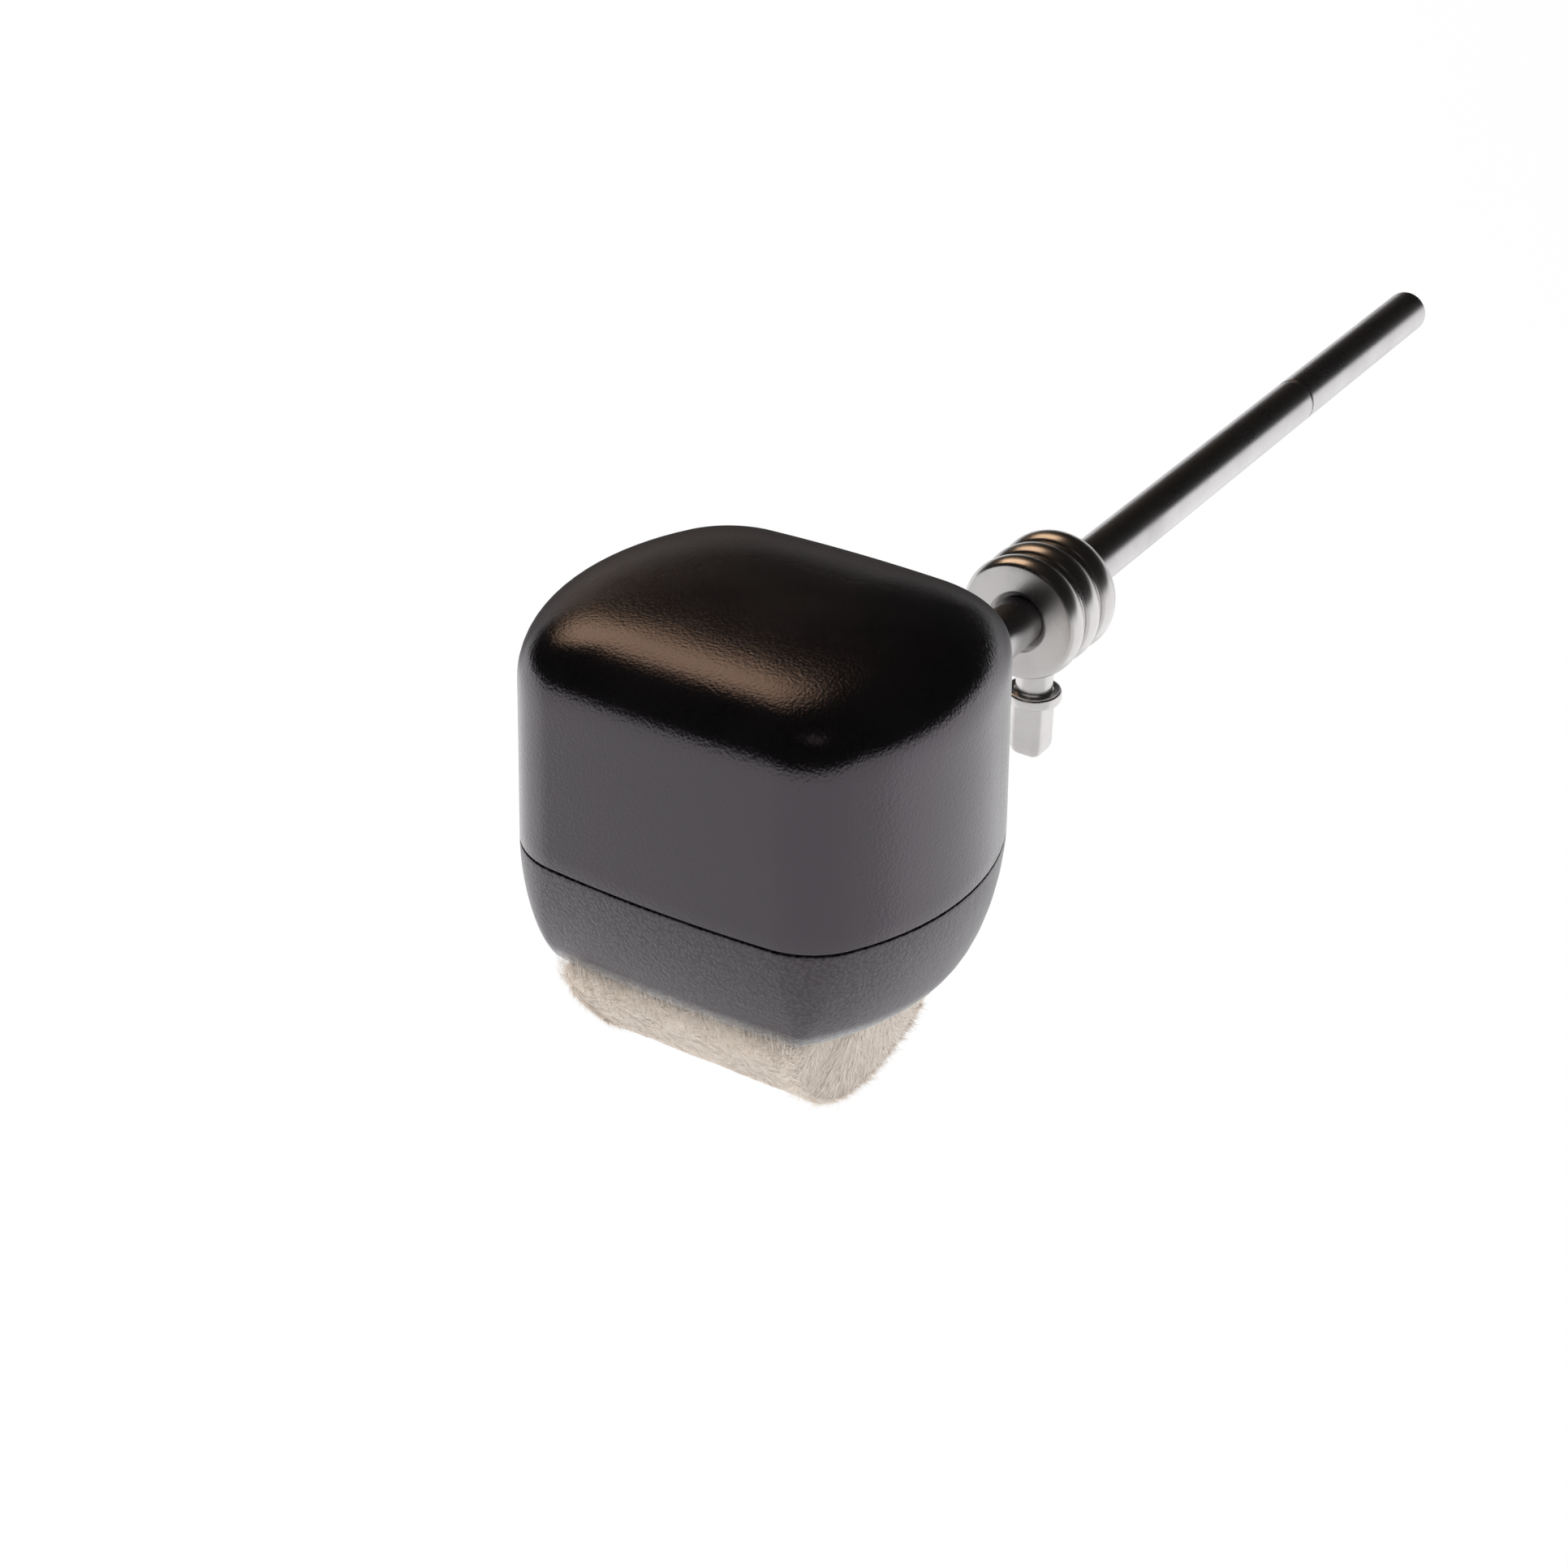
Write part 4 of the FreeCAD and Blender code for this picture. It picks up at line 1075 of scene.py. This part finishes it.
def flipped(points, low, high):
    """Points (radius, height) in reverse order, mirrored about the middle between two heights."""
    return [(radius, low + high - height) for radius, height in reversed(points)]


class BEATER_OT_rod(bpy.types.Operator):
    """Model the plated rod with its chamfered end, its index ring and its thread"""

    bl_idname = "beater.rod"
    bl_label = "Rod"

    def execute(self, context):
        metal = context.scene.beater_metal
        finishes = context.scene.beater_finishes
        rod = ring_piece("plated_rod", turned_rings(self.plain_profile(metal) + self.thread_profile(metal)))
        smooth(rod, 40)
        plating = (finishes.rod_chrome, finishes.rod_smeared)
        material = plated_metal("Rod chrome", *plating, rough=(0.27, 0.32), lines=900.0, depth=0.0005 * MM)
        dress(rod, "beater", "rod_chrome", material, "rod")
        return {"FINISHED"}

    def plain_profile(self, metal):
        """Points (radius, height) from the chamfered end over the index ring."""
        radius = metal.rod_radius
        low = ROD_LOW[2]
        face = radius - metal.rod_chamfer
        foot = low + metal.rod_chamfer
        soft = 0.15 * MM
        held = 0.4 * MM
        slight = metal.index_depth * 0.4
        bottom = metal.index_height - metal.index_width / 2
        top = metal.index_height + metal.index_width / 2
        floor = radius - metal.index_depth
        profile = [(radius * 0.2, low), (radius * 0.6, low)]
        profile += rounded((face - soft, low), (face, low), (face + soft, low + soft))
        profile += rounded((radius - soft, foot - soft), (radius, foot), (radius, foot + soft))
        profile.append((radius, foot + held))
        index = [(radius, bottom - held)]
        index += rounded((radius, bottom - slight), (radius, bottom), (radius - slight, bottom), 3)
        index += rounded((floor + slight, bottom), (floor, bottom), (floor, bottom + slight), 3)
        return profile + index + flipped(index, bottom, top)

    def thread_profile(self, metal):
        """Points (radius, height) over the thread that shows and on to the rod's upper end."""
        radius = metal.rod_radius
        high = ROD_HIGH[2]
        root = radius - metal.thread_depth
        crest = radius - 0.1 * MM
        held = 0.4 * MM
        turns = 3
        pitch = metal.thread_pitch
        thread = NUT_LOW[2] - metal.thread_shown
        profile = [(radius, thread - held), (radius, thread)]
        for turn in range(turns):
            start = thread + turn * pitch
            profile += [(root, start + 0.45 * pitch), (root, start + 0.6 * pitch)]
            profile.append((crest, start + 0.95 * pitch))
        return profile + [(crest, high - 0.6 * MM), (radius - 0.7 * MM, high), (radius * 0.2, high)]


class BEATER_OT_lock_parts(bpy.types.Operator):
    """Model the washer and the hexagon nut that lock the rod in the head"""

    bl_idname = "beater.lock_parts"
    bl_label = "Washer and Nut"

    def execute(self, context):
        metal = context.scene.beater_metal
        finishes = context.scene.beater_finishes
        plating = (finishes.chrome, finishes.chrome_smeared)
        material = plated_metal("Nut chrome", *plating, rough=(0.14, 0.24), lines=1500.0, depth=0.0015 * MM)
        self.washer(metal, material)
        self.nut(metal, material)
        return {"FINISHED"}

    def washer(self, metal, material):
        """Ring with rounded edges on both faces."""
        low = WASHER_LOW[2]
        high = WASHER_HIGH[2]
        outer = WASHER_HIGH[0]
        inner = metal.washer_bore
        soft = metal.washer_round
        lower = rounded((inner, low + soft), (inner, low), (inner + soft, low))
        lower += rounded((outer - soft, low), (outer, low), (outer, low + soft))
        profile = lower + flipped(lower, low, high) + lower[:1]
        washer = ring_piece("flat_washer", turned_rings(profile), filled=False)
        smooth(washer, 50)
        dress(washer, "beater", "nut_chrome", material, "lock_washer")

    def nut(self, metal, material):
        """Hexagon with its points turned off on both faces and a bore for the rod."""
        low = NUT_LOW[2]
        high = NUT_HIGH[2]
        sixth = math.pi / 6
        points = min(NUT_HIGH[0], NUT_HIGH[1]) / math.cos(sixth)
        turn = sixth if NUT_HIGH[1] > NUT_HIGH[0] else 0.0
        cylinder_form(points, high - low, (0, 0, (low + high) / 2), (0, 0, turn), vertices=6)
        nut = name_piece("hexagon_nut")
        bpy.ops.object.transform_apply(location=True, rotation=True, scale=True)
        axis = 0.1 * MM
        outer = points * 1.05
        face = metal.nut_crown - 0.3 * MM
        fall = (outer - metal.nut_crown) * math.tan(sixth) + 0.15 * MM
        crowned = [(axis, low), (face, low), (outer, low + fall)]
        crowned += flipped(crowned, low, high)
        join_by(nut, ring_piece("nut_crown_form", turned_rings(crowned)), "INTERSECT")
        bore = metal.rod_radius - 0.05 * MM
        mouth = bore + 1.6 * MM
        below = low - 1 * MM
        sunk = [(axis, below), (mouth, below), (bore, low + 0.6 * MM)]
        sunk += flipped(sunk, low, high)
        join_by(nut, ring_piece("nut_bore_form", turned_rings(sunk)), "DIFFERENCE")
        sharp = math.radians(28)
        apply_modifier(nut, "BEVEL", width=0.12 * MM, segments=2, limit_method="ANGLE", angle_limit=sharp)
        smooth(nut, 30)
        dress(nut, "beater", "nut_chrome", material, "lock_nut")


def crowned_ring(metal, bottom, top):
    """Points (radius, height) over one crowned ring of the counterweight, between its two rounded edges."""
    steps = 8
    soft = metal.ring_round
    middle = (bottom + top) / 2
    half = (top - bottom) / 2 - soft
    edge = metal.weight_radius - metal.ring_crown
    corner = edge - soft * 2 * metal.ring_crown / half
    lower = rounded((corner - soft, bottom), (corner, bottom), (edge, bottom + soft), 5)
    crown = []
    for step in range(1 - steps, steps):
        radius = metal.weight_radius - metal.ring_crown * (step / steps) ** 2
        crown.append((radius, middle + half * step / steps))
    return lower + crown + flipped(lower, bottom, top)


class BEATER_OT_weight(bpy.types.Operator):
    """Model the turned counterweight with its two grooves and the hole for the key screw"""

    bl_idname = "beater.weight"
    bl_label = "Counterweight"

    def execute(self, context):
        metal = context.scene.beater_metal
        finishes = context.scene.beater_finishes
        weight = ring_piece("counterweight", turned_rings(self.profile(metal), 128), filled=False)
        place = (0, -8 * MM, (WEIGHT_LOW[2] + WEIGHT_HIGH[2]) / 2)
        hole = cylinder_form(metal.key_hole, 12 * MM, place, (math.pi / 2, 0, 0))
        join_by(weight, hole, "DIFFERENCE")
        smooth(weight, 38)
        plating = (finishes.chrome, finishes.chrome_smeared)
        material = plated_metal(
            "Weight chrome", *plating, rough=(0.26, 0.31), lines=1400.0, depth=0.0008 * MM
        )
        dress(weight, "weight", "weight_chrome", material, "weight_collar")
        return {"FINISHED"}

    def profile(self, metal):
        """Points (radius, height) round the section, from the lower end of the bore and back to it."""
        low = WEIGHT_LOW[2]
        high = WEIGHT_HIGH[2]
        bore = metal.bore
        sink = metal.sink
        gap = metal.groove_width
        ring_count = 3
        ring_length = (high - low - (ring_count - 1) * gap) / ring_count
        floor = metal.weight_radius - metal.groove_depth
        flat = metal.weight_radius - 2 * MM
        fall = sink - bore
        small = 0.2 * MM
        soft = 0.15 * MM
        lip = sink + small
        end = [(bore, low + fall + small), (bore, low + fall)]
        end += rounded((sink - soft, low + soft), (sink, low), (lip, low), 3)
        end += [(lip + small, low), (flat, low)]
        rings = []
        for number in range(ring_count):
            bottom = low + number * (ring_length + gap)
            top = bottom + ring_length
            rings += crowned_ring(metal, bottom, top)
            if number < ring_count - 1:
                rings += [(floor, top + soft), (floor, top + gap - soft)]
        return end + rings + flipped(end, low, high) + end[:1]


class BEATER_OT_key_screw(bpy.types.Operator):
    """Model the key screw: thread, flange and square head with a rounded end"""

    bl_idname = "beater.key_screw"
    bl_label = "Key Screw"

    def execute(self, context):
        metal = context.scene.beater_metal
        finishes = context.scene.beater_finishes
        middle = (WEIGHT_LOW[2] + WEIGHT_HIGH[2]) / 2
        square = self.square(metal.square_half, metal.square_corner)
        turns = [math.atan2(z, x) for x, z in square]
        rings = []
        for radius, depth in self.round_profile(metal):
            rings.append([(radius * math.cos(t), -depth, middle + radius * math.sin(t)) for t in turns])
        for depth, inset, corner in self.square_profile(metal):
            outline = self.square(metal.square_half - inset, corner)
            rings.append([(x, -depth, middle + z) for x, z in outline])
        screw = ring_piece("square_key_screw", rings)
        smooth(screw, 35)
        plating = (finishes.chrome, finishes.chrome_smeared)
        material = plated_metal("Key chrome", *plating, rough=(0.27, 0.33), lines=1800.0, depth=0.001 * MM)
        dress(screw, "key", "key_chrome", material, "key_screw")
        return {"FINISHED"}

    def square(self, half, corner):
        """Points (x, z) round the head's square."""
        return box_outline(half, half, corner, (12, 8, 12))

    def round_profile(self, metal):
        """Points (radius, depth) from the tip over the thread and the flange."""
        tip = -KEY_HIGH[1]
        neck = metal.key_neck
        face = neck + metal.flange_thick
        rim = metal.flange_radius
        soft = metal.flange_round
        radius = metal.key_radius
        root = radius - metal.key_thread
        pitch = metal.key_pitch
        small = 0.2 * MM
        lead = 0.3 * MM
        thread = tip + 0.4 * MM
        turns = int((metal.weight_radius - tip - 0.6 * MM) / pitch)
        plain = tip + 0.6 * MM + turns * pitch
        points = [(radius * 0.15, tip), (radius - 0.7 * MM, tip), (root, tip + lead)]
        for turn in range(turns):
            start = thread + turn * pitch
            points += [(root, start), (radius, start + 0.42 * pitch), (radius, start + 0.55 * pitch)]
        points += [(root, plain), (radius, plain + lead), (radius, neck - small), (radius + small, neck)]
        points += rounded((rim - soft, neck), (rim, neck), (rim, neck + soft))
        return points + rounded((rim, face - soft), (rim, face), (rim - soft, face))

    def square_profile(self, metal):
        """Triples (depth, inset, corner radius) from the flange over the square to its rounded end."""
        half = metal.square_half
        corner = metal.square_corner
        top = metal.square_round
        small = 0.2 * MM
        face = metal.key_neck + metal.flange_thick
        end = -KEY_LOW[1]
        rings = [(face, -small, corner), (face + small, 0.0, corner)]
        for along in (0.25, 0.5, 0.75, 1.0):
            rings.append((face + (end - top - face) * along, 0.0, corner))
        for turn in map(math.radians, (15, 30, 45, 60, 75, 90)):
            inset = top * (1 - math.cos(turn))
            rings.append((end - top + top * math.sin(turn), inset, corner * (1 - inset / half)))
        return rings + [(end, 0.9 * half, 0.05 * half)]


class BEATER_OT_inner_parts(bpy.types.Operator):
    """Finish the pieces that sit inside the head and the counterweight"""

    bl_idname = "beater.inner_parts"
    bl_label = "Inner Parts"

    def execute(self, context):
        finishes = context.scene.beater_finishes
        steel = (finishes.steel, finishes.steel_stained)
        brass = (finishes.brass, finishes.brass_stained)
        nylon = (finishes.plate, finishes.plate_dark, finishes.plate, (1, 1, 1))
        skin = (finishes.hide, finishes.hide_dark)
        wood = (finishes.core, finishes.core_dark)
        skin_rates = {"strands": 1600.0, "mottle": 180.0}
        wood_rates = {"strands": 900.0, "mottle": 120.0}
        inner = {
            "housing_screws": plated_metal(
                "Screw steel", *steel, rough=(0.3, 0.45), lines=2200.0, depth=0.003 * MM
            ),
            "rod_hub": plated_metal("Hub steel", *steel, rough=(0.35, 0.5), lines=1600.0, depth=0.004 * MM),
            "clamp_pad": plated_metal(
                "Slug brass", *brass, rough=(0.28, 0.42), lines=1800.0, depth=0.003 * MM
            ),
            "pad_plate": moulded_plastic(
                "Plate nylon", *nylon, grain=1500.0, rough=(0.5, 0.62), depth=0.01 * MM
            ),
            "hide_backing": matted_fibre("Wool skin", *skin, depth=0.05 * MM, sheen=0.1, **skin_rates),
            "pad_core": matted_fibre("Core wood", *wood, depth=0.02 * MM, sheen=0.0, **wood_rates),
        }
        for node, material in inner.items():
            paint(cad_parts[node], material)
        return {"FINISHED"}


# The stage.


def stage_floor(stage):
    """Pale floor that looks white to the camera and keeps the soft shadow under the beater."""
    deselect()
    bpy.ops.mesh.primitive_plane_add(size=12, location=(0, 0, stage.floor_height))
    floor = name_piece("pale_floor")
    floor.visible_glossy = False
    material, tree, shader, place = new_material("Pale floor")
    tone = stage.floor_tone
    grain = noise_value(tree, place, 40.0, Detail=3.0)
    base = mix_colours(tree, grain, (tone,) * 3, (tone * 0.97,) * 3)
    set_inputs(tree, shader, Base_Color=base, Roughness=0.9)
    glow = add_node(tree, "ShaderNodeEmission", Color=(1, 1, 1), Strength=1.0)
    radius = add_node(tree, "ShaderNodeVectorMath", operation="LENGTH", Vector=place).outputs["Value"]
    far = spread(tree, radius, 0.0, 0.28, 0.8, 1.0)
    to_camera = add_node(tree, "ShaderNodeLightPath").outputs["Is Camera Ray"]
    mix = add_node(tree, "ShaderNodeMixShader", Fac=math_node(tree, "MULTIPLY", to_camera, far))
    feed(tree, shader.outputs["BSDF"], mix.inputs[1])
    feed(tree, glow.outputs["Emission"], mix.inputs[2])
    set_inputs(tree, tree.nodes["Material Output"], Surface=mix.outputs["Shader"])
    paint(floor, material)


def dark_card(stage, head):
    """Dark folded card behind the head that only shows as a mirror image in the plating and the crown."""
    deselect()
    bpy.ops.mesh.primitive_grid_add(
        x_subdivisions=2,
        y_subdivisions=2,
        size=60,
        location=(0, stage.card_distance, head.centre),
        rotation=(math.pi / 2, 0, 0),
    )
    card = name_piece("dark_card")
    for vert in card.data.vertices:
        vert.co.z = vert.co.y * math.tan(stage.upper_tilt if vert.co.y > 0 else stage.lower_tilt)
    card.visible_camera = False
    card.visible_diffuse = False
    material, tree, shader, place = new_material("Dark card")
    tone = stage.card_tone
    weave = noise_value(tree, place, 30.0)
    base = mix_colours(tree, weave, (tone,) * 3, (tone * 1.3, tone * 1.2, tone * 1.15))
    set_inputs(tree, shader, Base_Color=base, Roughness=1.0, Specular_IOR_Level=0.0)
    paint(card, material)


def area_lamp(target, name, direction, distance, sides, watts, tint):
    """Soft rectangular lamp that faces a point from a direction."""
    data = bpy.data.lights.new(name, "AREA")
    data.shape = "RECTANGLE"
    data.size, data.size_y = sides
    data.energy = watts
    data.color = tint
    lamp = bpy.data.objects.new(name, data)
    away = Vector(direction).normalized()
    lamp.location = Vector(target) + away * distance
    lamp.rotation_euler = away.to_track_quat("Z", "Y").to_euler()
    lamp.visible_camera = False
    bpy.context.scene.collection.objects.link(lamp)


def white_world(scene):
    """White surroundings for the camera, for mirrored rays and as ambient light."""
    world = bpy.data.worlds.new("White studio")
    world.use_nodes = True
    tree = world.node_tree
    paths = add_node(tree, "ShaderNodeLightPath").outputs
    seen = math_node(tree, "MAXIMUM", paths["Is Camera Ray"], paths["Is Glossy Ray"])
    seen = math_node(tree, "MAXIMUM", seen, paths["Is Transmission Ray"])
    white = mix_colours(tree, seen, (0.99, 0.99, 0.995), (1, 1, 1))
    set_inputs(tree, tree.nodes["Background"], Color=white, Strength=1.0)
    scene.world = world


def photo_camera(scene, stage):
    """Camera at the photo's place, turned as the photo is."""
    data = bpy.data.cameras.new("photo_camera")
    data.lens = stage.lens
    data.sensor_width = 36
    data.clip_start = 0.01
    camera = bpy.data.objects.new("photo_camera", data)
    right = Vector(stage.camera_right)
    up = Vector(stage.camera_up)
    turn = Matrix((right, up, right.cross(up))).transposed()
    camera.matrix_world = Matrix.Translation(stage.camera_place) @ turn.to_4x4()
    scene.collection.objects.link(camera)
    scene.camera = camera


class BEATER_OT_stage(bpy.types.Operator):
    """Set up the pale floor, the soft light and the camera"""

    bl_idname = "beater.stage"
    bl_label = "Stage"

    def execute(self, context):
        scene = context.scene
        stage = scene.beater_stage
        head = scene.beater_head
        stage_floor(stage)
        dark_card(stage, head)
        white_world(scene)
        # Each lamp has its name, direction from the head, distance, two sides, power and tint.
        lamps = (
            ("warm_lamp", (-0.55, 0.74, -0.385), 1.0, (0.617, 0.383), stage.warm_power, stage.warm_tint),
            ("right_lamp", (0.6, -0.46, -0.65), 1.2, (1.4, 1.4), stage.side_power, stage.side_tint),
            ("left_lamp", (-0.88, -0.47, 0.0), 1.2, (1.4, 1.4), stage.side_power, stage.side_tint),
            ("small_lamp", (0.3, 0.885, 0.35), 0.6, (0.03, 0.03), stage.spark_power, stage.spark_tint),
        )
        for lamp in lamps:
            area_lamp((0, 0, head.centre), *lamp)
        photo_camera(scene, stage)
        scene.view_settings.view_transform = "Standard"
        return {"FINISHED"}


class BEATER_PT_panel(bpy.types.Panel):
    """Lists the beater's pieces in the order they are modelled"""

    bl_idname = "BEATER_PT_panel"
    bl_label = "Bass Drum Beater"
    bl_space_type = "VIEW_3D"
    bl_region_type = "UI"
    bl_category = "Beater"

    def draw(self, context):
        for operator in OPERATORS:
            self.layout.operator(operator.bl_idname)


OPERATORS = (
    BEATER_OT_rear_shell,
    BEATER_OT_front_bezel,
    BEATER_OT_wool_pad,
    BEATER_OT_rod,
    BEATER_OT_lock_parts,
    BEATER_OT_weight,
    BEATER_OT_key_screw,
    BEATER_OT_inner_parts,
    BEATER_OT_stage,
)
SETTINGS = {
    "beater_head": BeaterHeadSizes,
    "beater_wool": BeaterWoolSizes,
    "beater_metal": BeaterMetalSizes,
    "beater_finishes": BeaterFinishes,
    "beater_stage": BeaterStageSettings,
}


def register():
    """Register the settings, the operators and the panel."""
    for label, group in SETTINGS.items():
        bpy.utils.register_class(group)
        setattr(bpy.types.Scene, label, PointerProperty(type=group))
    for operator in OPERATORS:
        bpy.utils.register_class(operator)
    bpy.utils.register_class(BEATER_PT_panel)


def unregister():
    """Take back what register added."""
    bpy.utils.unregister_class(BEATER_PT_panel)
    for operator in reversed(OPERATORS):
        bpy.utils.unregister_class(operator)
    for label, group in SETTINGS.items():
        delattr(bpy.types.Scene, label)
        bpy.utils.unregister_class(group)


def main():
    """Model every piece in order."""
    register()
    bpy.ops.beater.rear_shell()
    bpy.ops.beater.front_bezel()
    bpy.ops.beater.wool_pad()
    bpy.ops.beater.rod()
    bpy.ops.beater.lock_parts()
    bpy.ops.beater.weight()
    bpy.ops.beater.key_screw()
    bpy.ops.beater.inner_parts()
    bpy.ops.beater.stage()
    deselect()


if __name__ == "__main__":
    main()
